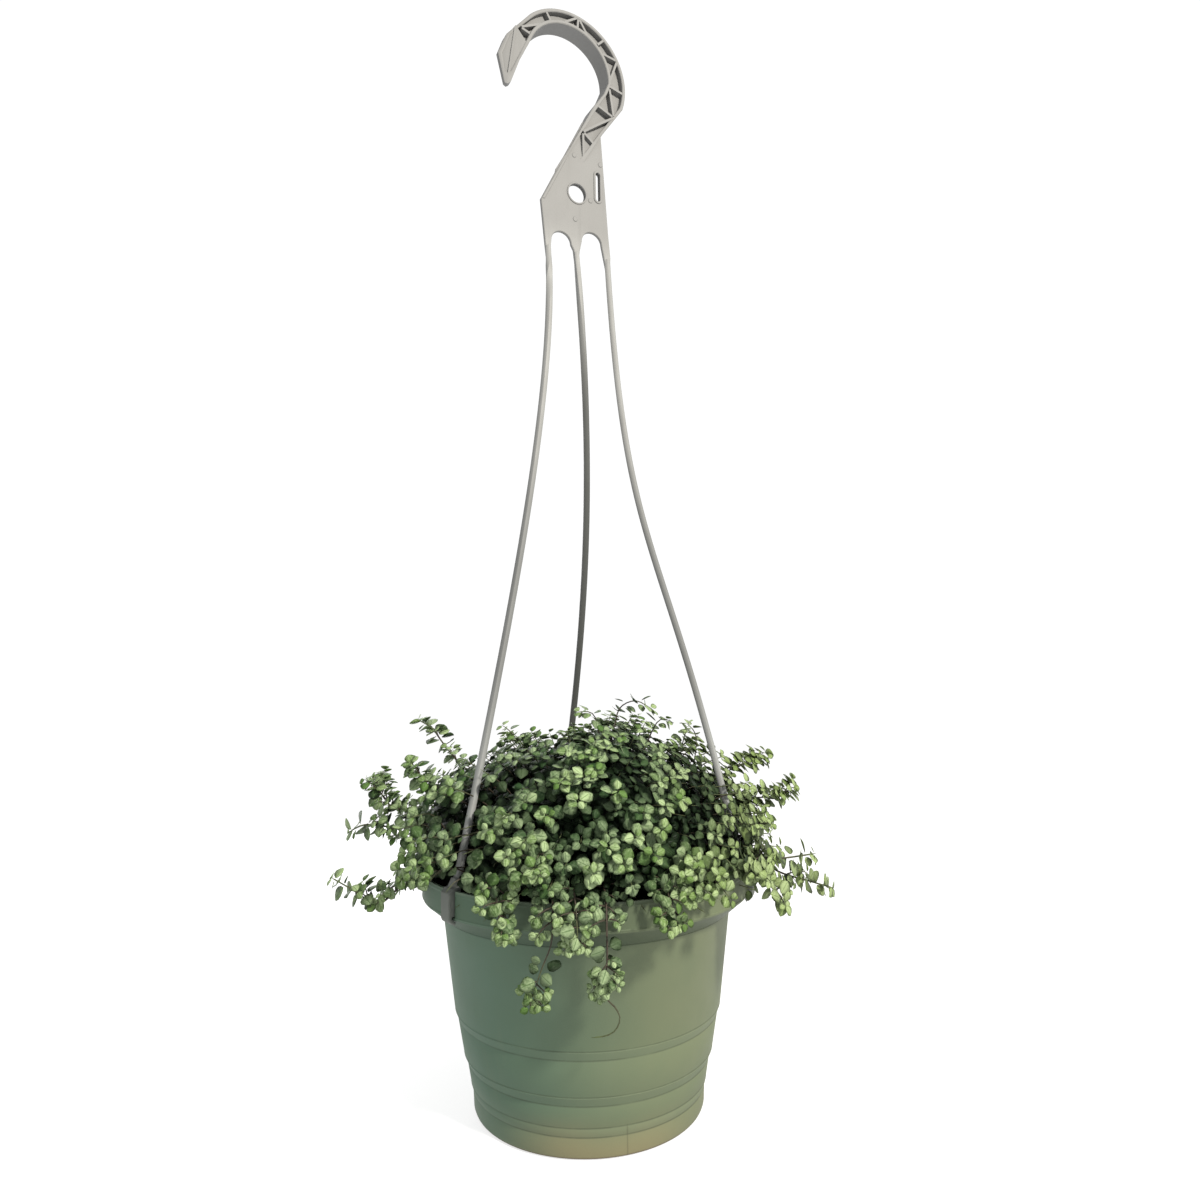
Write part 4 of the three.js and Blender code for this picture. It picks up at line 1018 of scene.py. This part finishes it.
class Shoot:
    """Everything that grows from one root: its stems, and the place of each of its leaves."""

    def __init__(self, edge=None):
        self.lines, self.shells, self.pairs, self.edge = [], [], [], edge

    def stem(self, points, seed, bare=0.0, reach=1e9, big=1.0, radius=0.5, every=2.4):
        """Leaves in pairs from the tip down: none on the bare length, then as far back as reach."""
        line, long = smooth_line(points, every)
        self.lines.append((line, radius))
        count = np.arange(PAIRS)
        back = bare + 0.8 + pair_places()
        keep = (back < long - 2) & (back < reach + bare)
        count, back = count[keep], back[keep]
        if len(count) == 0:
            return
        run = np.linspace(long, 0, len(line))
        at, ahead = (
            np.stack([np.interp(-back, -run, way[:, k]) for k in range(3)], axis=1)
            for way in (line, unit(np.gradient(line, axis=0)))
        )
        ahead = unit(ahead)
        level = np.cross(ahead, UP)
        level = unit(np.where(np.linalg.norm(level, axis=1, keepdims=True) < 0.15, [[1.0, 0.2, 0.0]], level))
        other = np.cross(ahead, level)
        light = self.light(at, ahead)
        own = spread(seed * 5.3, 2)
        for side in (0, np.pi):
            number = seed * 31.7 + count * 2.0 + (side > 0)
            turn = side + count * np.pi / 2 + seed * 2.4 + 0.5 * (spread(number, 0) - 0.5)
            arm = level * np.cos(turn)[:, None] + other * np.sin(turn)[:, None]
            wobble = np.stack([spread(number, k) - 0.5 for k in (1, 2, 3)], axis=1)
            face = unit(light + 0.95 * wobble)
            rise = np.clip(0.7 - 0.16 * count, 0.0, 0.7)[:, None]
            axis = unit(arm + rise * ahead + 0.35 * np.roll(wobble, 1, axis=1))
            # most of the part of its axis that points along its face is taken off the leaf
            axis = unit(axis - 0.85 * np.sum(axis * face, axis=1, keepdims=True) * face)
            stalk = np.clip(0.4 + 0.2 * count, 0, 1.5)[:, None]
            grown = np.clip(0.64 + 0.14 * count, 0, 1.0)
            size = big * LEAF_LONG * grown * (0.74 + 0.54 * spread(number, 1))
            age = np.clip((count - 0.5 + 1.2 * (spread(number, 2) - 0.5)) / 7, 0, 1)
            tone = 0.4 * own + 0.6 * spread(number, 4)
            self.pairs.append((at + arm * stalk + axis * 0.2, axis, face, size, age, tone))

    @staticmethod
    def light(at, ahead):
        """Where the light comes from: above, outside, along the stem and, at the front, a window."""
        outward = unit(at * [1, 1, 0] + 1e-6)
        lift = np.clip((at[:, 2:] - 120) / 60, 0, 1)
        inner = np.clip((75 - np.abs(at[:, :1])) / 30, 0, 1)
        front = np.clip((40 - at[:, 1:2]) / 40, 0, 1)
        window = (0.55 - 0.4 * lift * inner) * front * np.array([0.25, -0.97, 0.0])
        return unit((0.55 + 0.8 * lift) * UP + (0.8 - 0.4 * lift) * outward + 0.5 * ahead + window)

    def leaves(self):
        """Every leaf's points: the one leaf times its own three axes and size, plus its place."""
        where, axis, face, size, age, tone = (np.concatenate(v) for v in zip(*self.pairs))
        # a leaf deep inside the dome counts as old, so it is painted dark for the shade there
        age = np.maximum(age, shade_depth_inside(where))
        middle = where + axis * size[:, None] * 0.5
        keep = ~in_the_way(middle, size)
        if self.edge:
            above = middle[:, 2] > self.edge(middle[:, 0]) + 0.3 * size
            keep = keep & (above | (middle[:, 1] > FRONT_Y))
        where, axis, face, size, age, tone = (v[keep] for v in (where, axis, face, size, age, tone))
        across = unit(np.cross(face, axis))
        basis = np.stack([axis, across, np.cross(axis, across)], axis=1) * size[:, None, None]
        parts = []
        for (places, uv, faces), chosen in ((YOUNG_LEAF, age < OLD_AGE), (OLD_LEAF, age >= OLD_AGE)):
            points = np.einsum("pk,nkx->npx", places, basis[chosen]) + where[chosen, None]
            ages, tones = np.repeat(age[chosen], len(places)), np.repeat(tone[chosen], len(places))
            count = int(chosen.sum())
            faces = (faces[None] + (np.arange(count) * len(places))[:, None, None]).reshape(-1, 4)
            parts.append((points.reshape(-1, 3), faces, np.tile(uv, (count, 1)), ages, tones))
        return parts, len(where)

    @staticmethod
    def plain(parts, index, points, quads, age, finish):
        """One shell more that isn't a leaf: the middle of the leaf's map, and a middling tone."""
        parts.append((points, quads, np.full((len(points), 2), 0.5), age, np.full(len(points), 0.5)))
        index.append(np.full(len(quads), finish))

    def piece(self, name, node, materials):
        """One mesh of all the leaves and stems, with the leaves' own map and their age and tone."""
        parts, count = self.leaves()
        index = [np.full(len(part[1]), LEAF) for part in parts]
        for line, radius in self.lines:
            run = np.linspace(0, 1, len(line))
            thick = radius * (1.15 - 0.6 * run)
            # the last station is narrower still, so that the stem ends in a point
            thick[-1] *= 0.3
            rings = carried(line, thick, thick, sides=4, square=2, nudge=1e-4)
            self.plain(parts, index, rings, tube_faces(len(line)), np.repeat(1 - run, 4), STEM)
        for points, quads in self.shells:
            self.plain(parts, index, points, quads, np.full(len(points), 0.5), SHADE_CORE)
        starts = np.cumsum([0] + [len(part[0]) for part in parts[:-1]])
        quads = np.concatenate([part[1] + start for part, start in zip(parts, starts)])
        points, uv, age, tone = (np.concatenate([part[k] for part in parts]) for k in (0, 2, 3, 4))
        made = fill(name, points, quads, materials, np.concatenate(index))
        for label, values in (("age", age), ("tone", tone)):
            layer = made.data.attributes.new(label, "FLOAT", "POINT")
            layer.data.foreach_set("value", values.astype(np.float32))
        corner = np.zeros(len(made.data.loops), dtype=np.int32)
        made.data.loops.foreach_get("vertex_index", corner)
        made.data.uv_layers.new(name="leaf").data.foreach_set("uv", uv[corner].astype(np.float32).ravel())
        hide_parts(node)
        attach(made, "root")
        return count


print("pairs of leaves within 40 mm of a tip:", int((pair_places() < 40).sum()))

# %% [markdown]
# ## The finish of leaves and stems
#
# Each leaf is silvery over a dark green ground. The silver lies to both sides of the middle vein,
# so it is drawn from the leaf's own map, in which v runs from edge to edge. Young leaves at the
# tips are lime; older ones are darker, and the oldest and those deep in the plant are painted near
# black, as painted shade. Leaves on the right are painted yellower, as painted sunlight. Stems are
# red-brown, greener at the tip.


# %% Leaf and stem finishes
def leaf_surface():
    """Dark green, lime when young, painted near black as shade when old or deep, under silver between the
    veins; painted sunlight makes the right side yellower.
    """
    f = Finish("pilea_leaf")
    _, v, _ = f.axes(f.node("ShaderNodeUVMap", {"uv_map": "leaf"}, {}))
    age, tone = f.attribute("age"), f.attribute("tone")
    side = abs(v - 0.5) * 2.0
    vein, margin = f.range(side, 0.12, 0.0), f.range(side, 0.7, 1.0)
    blister = f.noise(900, 3, 0.6)
    silver = f.range(blister + tone * 0.8, 0.6, 1.25) * (1.0 - vein * 0.7) * (1.0 - margin * 0.55)
    silver = silver * f.range(age, 0.95, 0.4, 0.02, 1.0)
    young = f.mix(tone, (0.055, 0.112, 0.026), (0.135, 0.195, 0.060))
    grown = f.mix(tone, (0.014, 0.036, 0.012), (0.060, 0.098, 0.042))
    # painted shade: near black for the oldest leaves and those deep in the plant
    old = f.mix(tone, (0.002, 0.006, 0.002), (0.010, 0.019, 0.008))
    bright = f.mix(f.range(age, 0.1, 0.8), (0.268, 0.345, 0.188), (0.118, 0.155, 0.092))
    # painted sunlight: the outer leaves on the lamp's right side are yellower
    painted_sunlight = f.range(f.axes()[0], 0.015, 0.085) * f.range(age, 0.9, 0.3)
    colour = f.coats(
        young,
        (f.range(age, 0.0, 0.38), grown),
        (f.range(age, 0.45, 1.0), old),
        (silver * 0.82, bright),
        (vein * f.range(age, 0.9, 0.4, 0.0, 0.4), (0.06, 0.11, 0.035)),
        (painted_sunlight * 0.26, (0.240, 0.275, 0.095)),
    )
    return f.surface(
        Base_Color=colour,
        Roughness=f.range(silver, 0.0, 1.0, 0.45, 0.58),
        Specular_IOR_Level=0.07,
        Normal=f.bump(blister - vein * 0.8, 0.0003, 0.7),
    )


def stem_surface():
    """Green at the tip and red-brown further down, with fine dark fibres."""
    f = Finish("pilea_stem")
    fibre = f.noise(500, 2, 0.5)
    colour = f.coats(
        (0.070, 0.090, 0.035),
        (f.range(f.attribute("age"), 0.0, 0.3), (0.038, 0.030, 0.020)),
        (f.range(fibre, 0.4, 0.75, 0.0, 0.5), (0.022, 0.014, 0.010)),
    )
    fibres = f.bump(fibre, 0.0002, 0.5)
    return f.surface(Base_Color=colour, Roughness=0.55, Specular_IOR_Level=0.25, Normal=fibres)


def shade_core_surface():
    """Painted shade: almost black, with flecks a little lighter."""
    f = Finish("painted_shade_core")
    fleck = f.noise(260, 4, 0.7)
    colour = f.mix(f.range(fleck, 0.4, 0.7), (0.004, 0.006, 0.003), (0.018, 0.022, 0.010))
    return f.surface(
        Base_Color=colour, Roughness=0.9, Specular_IOR_Level=0.0, Normal=f.bump(fleck, 0.002, 1.0)
    )


plant_finish = [leaf_surface(), stem_surface(), shade_core_surface()]
print("finishes:", [m.name for m in plant_finish])

# %% [markdown]
# ## The long shoots
#
# These are the shoots that give the plant its outline: to the left and right they run out over the
# collar and curve up, and at the front they hang down the pot. Each has its own line of points.

# %% Long and trailing shoots
LONG_SHOOTS = {
    "left_low": ((-62, -24), [
        (-77, -30, 122), (-85, -28, 116), (-93, -26, 108), (-101, -24, 103), (-114, -22, 110),
        (-124, -20, 115),
    ]),
    "left_middle": ((-60, -10), [
        (-72, -15, 135), (-83, -14, 138), (-96, -12, 137), (-110, -10, 138), (-119, -8, 134),
    ]),
    "left_rising": ((-62, 8), [
        (-78, 3, 133), (-87, 5, 140), (-99, 8, 143), (-106, 10, 149), (-109, 12, 156),
    ]),
    "left_high": ((-56, 24), [
        (-60, 24, 145), (-66, 25, 160), (-77, 25, 175), (-83, 25, 183), (-91, 25, 188),
    ]),
    "left_upper": ((-50, -36), [(-60, -29, 140), (-69, -30, 157), (-84, -30, 168)]),
    "right_middle": ((62, 8), [(74, 9, 138), (84, 10, 144), (98, 10, 145), (109, 10, 147)]),
    "right_front": ((60, -16), [(70, -18, 126), (77, -19, 134), (89, -20, 137)]),
    "right_level": ((56, -30), [(66, -34, 118), (76, -36, 123), (92, -35, 123), (109, -35, 125)]),
    "right_low": ((66, -6), [(80, -11, 123), (94, -16, 113), (110, -24, 109), (119, -28, 107)]),
    "right_fall": ((53, -40), [(64, -44, 119), (77, -50, 121), (89, -55, 109)]),
    "right_upper": ((56, 20), [(63, 20, 140), (74, 20, 155), (87, 20, 162), (96, 20, 163)]),
    "right_high": ((42, 50), [(44, 42, 140), (46, 34, 162), (58, 30, 174)]),
    "front_left": ((-32, -57), [(-36, -70, 121), (-38, -80, 124), (-36, -89, 116), (-33, -90, 105)]),
    "front_over": ((-22, -59), [(-18, -68, 134), (-19, -84, 139), (-23, -92, 129)]),
    "front_hanging_left": ((-17, -62), [
        (-15, -74, 121), (-14, -86, 118), (-14, -92, 109), (-15, -91, 102), (-19, -89, 92),
        (-23, -87, 80),
    ]),
    "front_middle": ((-6, -64), [(-6, -74, 122), (-5, -87, 122), (-4, -94, 112), (-4, -93, 102)]),
    "front_hanging_right": ((6, -62), [
        (7, -74, 122), (8, -86, 118), (8, -92, 109), (8, -91, 97), (7, -88, 82), (11, -86, 76),
        (13, -85, 71.5), (11.5, -84, 66.5), (7.5, -83, 63.6), (1.1, -82, 62.5),
    ]),
    "front_right": ((28, -58), [(31, -70, 121), (33, -80, 123), (35, -88, 116), (36, -89, 107)]),
}
SPARSE = ("left_low", "left_middle", "left_high", "right_low", "right_level")
# The longer hanging shoot ends in a bare, curled stem: its length in mm.
BARE = {"front_hanging_right": 33.0}
# Small tufts near the tips of the two hanging shoots, each a foot and a tip.
TUFTS = {
    "front_hanging_left": [
        ((-21, -88.5, 88), (-26, -88, 83)), ((-21, -88.5, 87), (-16, -88, 82)),
        ((-22, -88, 84), (-24, -87, 76)), ((-22, -88, 82), (-18, -87, 77)),
    ],
    "front_hanging_right": [
        ((8, -91, 95), (3, -91, 89)), ((7, -90, 91), (1, -89, 83)), ((7, -90, 89), (4, -88, 80)),
        ((8, -91, 94), (13, -91, 90)), ((8, -90, 91), (13, -89, 85)), ((8, -91, 97), (11, -92, 96)),
    ],
}
print("long shoots:", len(LONG_SHOOTS))


# %% Growing the long shoots
def rooted(x, y, through):
    """The stem starts upright in the soil, below its surface."""
    top = soil_top(np.hypot(x, y))
    return [(x, y, top - 8), (x, y, top + 2), *through]


def twigs(shoot, line, last, seed, each, long, big):
    """Side twigs leave the stem to both sides, a few to each stretch of it, and turn up."""
    for k in range(2, last):
        stretch = line[k + 1] - line[k]
        level = unit(np.cross(unit(stretch), UP) + 1e-6)
        for j in range(each):
            for side in (-1, 1):
                number = seed * 7 + k * 2 * each + j * 2 + (side > 0)
                length = long * (0.75 + 0.8 * spread(number, 2))
                aim = unit(side * level * 0.9 + 0.8 * unit(stretch) + (spread(number, 3) - 0.2) * UP)
                start = line[k] + stretch * (j + 0.3) / each
                middle = start + aim * length * 0.55 + UP
                shoot.stem([start, middle, start + aim * length], number + 0.3, radius=0.36, big=big)


leaf_count = 0
for seed, (name, (root, through)) in enumerate(LONG_SHOOTS.items()):
    shoot = Shoot()
    line = np.array(rooted(*root, through), dtype=float)
    hanging, front, sparse = "hanging" in name, "front" in name, name in SPARSE
    reach = 17.0 if hanging else 24.0 if sparse else 70.0
    big, radius = 1.0 if front else 1.2, 0.66 if sparse else 0.5
    shoot.stem(line, seed, BARE.get(name, 0.0), reach, big, radius)
    last = 4 if hanging else len(line) - (2 if sparse else 1)
    long, big = (6.5, 0.9) if front else (9.0, 1.1)
    twigs(shoot, line, last, seed, 1 if sparse else 2, long, big)
    for k, (start, tip) in enumerate(TUFTS.get(name, [])):
        shoot.stem([start, (np.array(start) + tip) / 2, tip], seed * 90 + k + 0.1, radius=0.3, big=0.86)
    leaf_count += shoot.piece(f"shoot_{name}_leaves", f"shoot_{name}", plant_finish)
print("leaves on long shoots:", leaf_count)

# %% [markdown]
# ## The mound
#
# The middle of the plant is a dense mound. Its outside is the squared-off dome that was drawn
# above, a little higher right of the middle and dipped further right. Every shoot in it runs from
# the inside towards that dome, arching over at the end. Each clump holds a slice of it, round an
# almost black core that stands for the shade deep inside the plant.


# %% The mound's shoots
def inner_stem(turn, rise, out, seed):
    """The line of one shoot: from deep inside, out and up, and over at the tip."""
    middle = np.array([0.0, 0.0, 106.0])
    way = mound(turn, rise) - middle
    tip, start = middle + way * out, middle + way * 0.45
    bend = start + (tip - start) * 0.6 + UP * (3 + 4 * spread(seed, 2))
    return [start, bend, tip]


def over_rim(turn, reach, high, seed):
    """A low shoot: up from the soil, over the collar, and its tip a little down outside it."""
    foot = 44 + 16 * spread(seed, 0)
    over = foot + (reach - foot) * 0.7
    line = [(foot, SOIL_MID), (foot + 8, high - 4), (over, high + 1), (reach, high - 5)]
    return [around(turn, r, z) for r, z in line]


CORE = [(16, 101), (50, 102), (54, 112), (55, 128), (53, 142), (46, 152), (36, 160), (24, 165), (16, 166)]
CORE_LEAST, CORE_INSIDE = 16.5, 12.0


def core_wedge(turn, half, count=9):
    """A slice of the dark core: rings of points out along an arc and back near the middle."""
    a = np.linspace(turn - half, turn + half, count)
    rows = []
    for r, z in CORE:
        lump = 1 + 0.05 * np.sin(a * 9 + z * 0.31) + 0.04 * np.sin(a * 23 - z * 0.7)
        high = z + 3 * np.sin(a * 7 + r * 0.2) * (z > 110)
        rows += [around(a, max(r, CORE_LEAST) * lump, high), around(a[::-1], CORE_INSIDE, z)]
    ring = 2 * count
    points = np.concatenate(rows)
    caps = []
    for start, step in ((0, 1), ((len(CORE) - 1) * ring, -1)):
        for k in range(count - 1):
            quad = [start + k, start + k + 1, start + ring - 2 - k, start + ring - 1 - k]
            caps.append(quad[::-step])
    return points, np.concatenate([net(len(CORE), ring, close_columns=True), np.array(caps)])


print("points of one core wedge:", len(core_wedge(0.0, np.pi / 7)[0]))

# %% The clumps
# Heights above which the mound's own leaves stay at the front: from x, to x, height.
EDGE = [
    (-80, -69, 110), (-67, -55, 125), (-53, -37, 115), (-35, -24, 119), (-22, -16, 116),
    (-14, -1, 107), (1, 17, 109), (19, 35, 119), (37, 47, 112), (49, 80, 121),
]
EDGE_X = [x for low, high, _ in EDGE for x in (low, high)]
EDGE_Z = [z for *_, z in EDGE for _ in range(2)]
# Single sprigs that stand out of the top and beside a strap, from their foot to their tip.
SPRIGS = [
    [(12, 0, 168), (16, -2, 186), (19, -3, 194), (27, -4, 197), (36, -4, 192)],
    [(8, 4, 168), (7, 2, 184), (4, 0, 191), (-3, -2, 192)],
    [(-26, -4, 160), (-33, -5, 176), (-38, -6, 183), (-42, -6, 186)],
    [(56, 18, 150), (60, 20, 168), (60, 20, 178), (55, 19, 184)],
    [(30, 6, 168), (36, 4, 182), (40, 2, 187), (45, 1, 186)],
    [(-48, -50, 116), (-56, -58, 126), (-64, -64, 127), (-69, -66, 122)],
    [(-44, -54, 114), (-50, -64, 124), (-56, -70, 124), (-60, -73, 120)],
]
# More shoots for the clump at the front: the turn and the rise at which each one ends.
FRONT = [(-92, 34), (-97, 42), (-86, 44), (-101, 30), (-80, 36), (-90, 52), (-98, 55), (-84, 58)]
CLUMPS, FRONT_CLUMP = 7, 5
MOUND_STEM = {"reach": 30.0, "radius": 0.42, "every": 3.4}


def edge_height(x):
    """The height of the front edge, straight from one station to the next."""
    return np.interp(x, EDGE_X, EDGE_Z)


def clump(turn, wide, rises, count, low_count, seed):
    """Shoots spread evenly over a slice of the dome, then low ones that reach over the collar."""
    shoot = Shoot(edge_height)
    low, high = np.sin(np.radians(rises))
    for k in range(count):
        side = (spread(k + seed * 3, 1) - 0.5) * wide
        rise = np.arcsin(low + (high - low) * spread(k + seed * 3, 2))
        line = inner_stem(np.radians(turn + side), rise, 0.78 + 0.23 * spread(k, 0), k + seed)
        shoot.stem(line, seed * 40 + k + 0.5, **MOUND_STEM)
    for k in range(low_count):
        side = (spread(k + seed * 5, 0) - 0.5) * wide
        line = over_rim(np.radians(turn + side), 78 + 14 * spread(k, 1), 118 + 14 * spread(k, 2), k + seed)
        x, y, z = line[-1]
        if y > FRONT_Y or z > edge_height(x) - 1:
            shoot.stem(line, seed * 60 + k + 0.7, **MOUND_STEM)
    return shoot


middle = clump(0, 360, (55, 90), 58, 0, 50)
for k, sprig in enumerate(SPRIGS):
    middle.stem(sprig, 7100 + k, reach=26.0, radius=0.42)
mound_count = middle.piece("clump_middle_leaves", "clump_middle", plant_finish)
for k in range(CLUMPS):
    turn = 12 + 360 * k / CLUMPS
    made = clump(turn, 53, (0, 72), 66, 14, k)
    for j, (side, rise) in enumerate(FRONT if k == FRONT_CLUMP else []):
        line = inner_stem(np.radians(side), np.radians(rise), 0.99, j)
        made.stem(line, 8300 + j * 1.7, **MOUND_STEM)
    # the dark core is painted shade that stands for the inside of the clump
    made.shells.append(core_wedge(np.radians(turn), np.pi / CLUMPS - 0.012))
    mound_count += made.piece(f"clump_{k + 1}_leaves", f"clump_{k + 1}", plant_finish)
print("leaves in the mound:", mound_count)

# %% [markdown]
# Round the edge of the soil stand shorter shoots that rise beside the mound and lean out over the
# collar. They hide the soil and break the mound's outline.


# %% Shoots round the rim
RIM_ROOT = 66


def rim_line(turn, rise):
    """Up from the soil near the wall, then out over the collar to the dome's point."""
    tip = mound(turn, rise)
    reach, high = np.hypot(tip[0], tip[1]) - RIM_ROOT, max(tip[2], 122) - SOIL_MID
    bend = around(turn, RIM_ROOT + reach * 0.15, SOIL_MID + high * 0.6)
    over = around(turn, RIM_ROOT + reach * 0.55, SOIL_MID + high * 0.95 + 2)
    return rooted(*around(turn, RIM_ROOT, 0)[:2], [bend, over, tip])


rim_nodes = sorted(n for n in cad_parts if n.startswith("shoot_") and n[6:].isdigit())
rim_count = 0
for name in rim_nodes:
    centre = sum(np.array(corner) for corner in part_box(name)) / 2 / MM
    turn = np.arctan2(centre[1], centre[0])
    rise = np.arctan2(max(centre[2] + 12 - DOME_FOOT, 4.0), 96)
    shoot = Shoot()
    for k, (side, lift) in enumerate([(0, 0), (-7, 6), (7, -3), (-3, 10), (4, 4)]):
        line = rim_line(turn + np.radians(side), rise + np.radians(lift))
        shoot.stem(line, int(name[6:]) * 3 + k + 0.2, reach=32.0, radius=0.45)
    rim_count += shoot.piece(name + "_leaves", name, plant_finish)
print("leaves round the rim:", rim_count)

# %% [markdown]
# ## Floor and light
#
# The pot stands on a plain pale floor in a bright white room. One slightly warm lamp stands high
# on the right and in front, so the pot turns from cool sage to olive and the leaves' shadows fall
# on it to the left and downwards. A large weak lamp behind the pot keeps its back from going dark.


# %% Floor and lamps
def floor_finish():
    """A plain pale paint with a weak glow of its own."""
    return Finish("floor_paint").surface(
        Base_Color=(0.30, 0.30, 0.30),
        Roughness=0.9,
        Specular_IOR_Level=0.0,
        Emission_Color=(1.0, 1.0, 1.0),
        Emission_Strength=0.70,
    )


def floor_sheet(half=6000.0, under=0.05, count=3):
    """A flat square just under the pot."""
    a = np.linspace(-half, half, count)
    x, y = np.meshgrid(a, a, indexing="ij")
    points = np.stack([x, y, np.full_like(x, -under)], axis=-1).reshape(-1, 3)
    return fill("floor", points, net(count, count)[:, ::-1], [floor_finish()], smooth=False)


def lamp(name, place, aim, size, watts, colour):
    """A round area lamp at a place in mm, pointing at another place."""
    light = bpy.data.lights.new(name, "AREA")
    light.shape, light.size, light.energy, light.color = "DISK", size, watts, colour
    back = unit(np.array(place, dtype=float) - np.array(aim, dtype=float))
    right = unit(np.cross(UP, back))
    stood(placed(name, light), place, right, np.cross(back, right), back)


floor_sheet()
lamp("key", (425, -556, 690), (0, 0, 200), 0.10, 13.8, (1.0, 0.945, 0.86))
lamp("fill", (-340, 700, 260), (0, 0, 200), 0.9, 7.0, (1.0, 1.0, 1.0))
world = bpy.data.worlds.new("white_room")
world.use_nodes = True
room = world.node_tree.nodes["Background"].inputs
room["Color"].default_value = (1.0, 1.0, 1.0, 1.0)
room["Strength"].default_value = 1.05
bpy.context.scene.world = world
bpy.context.scene.view_settings.view_transform = "Standard"
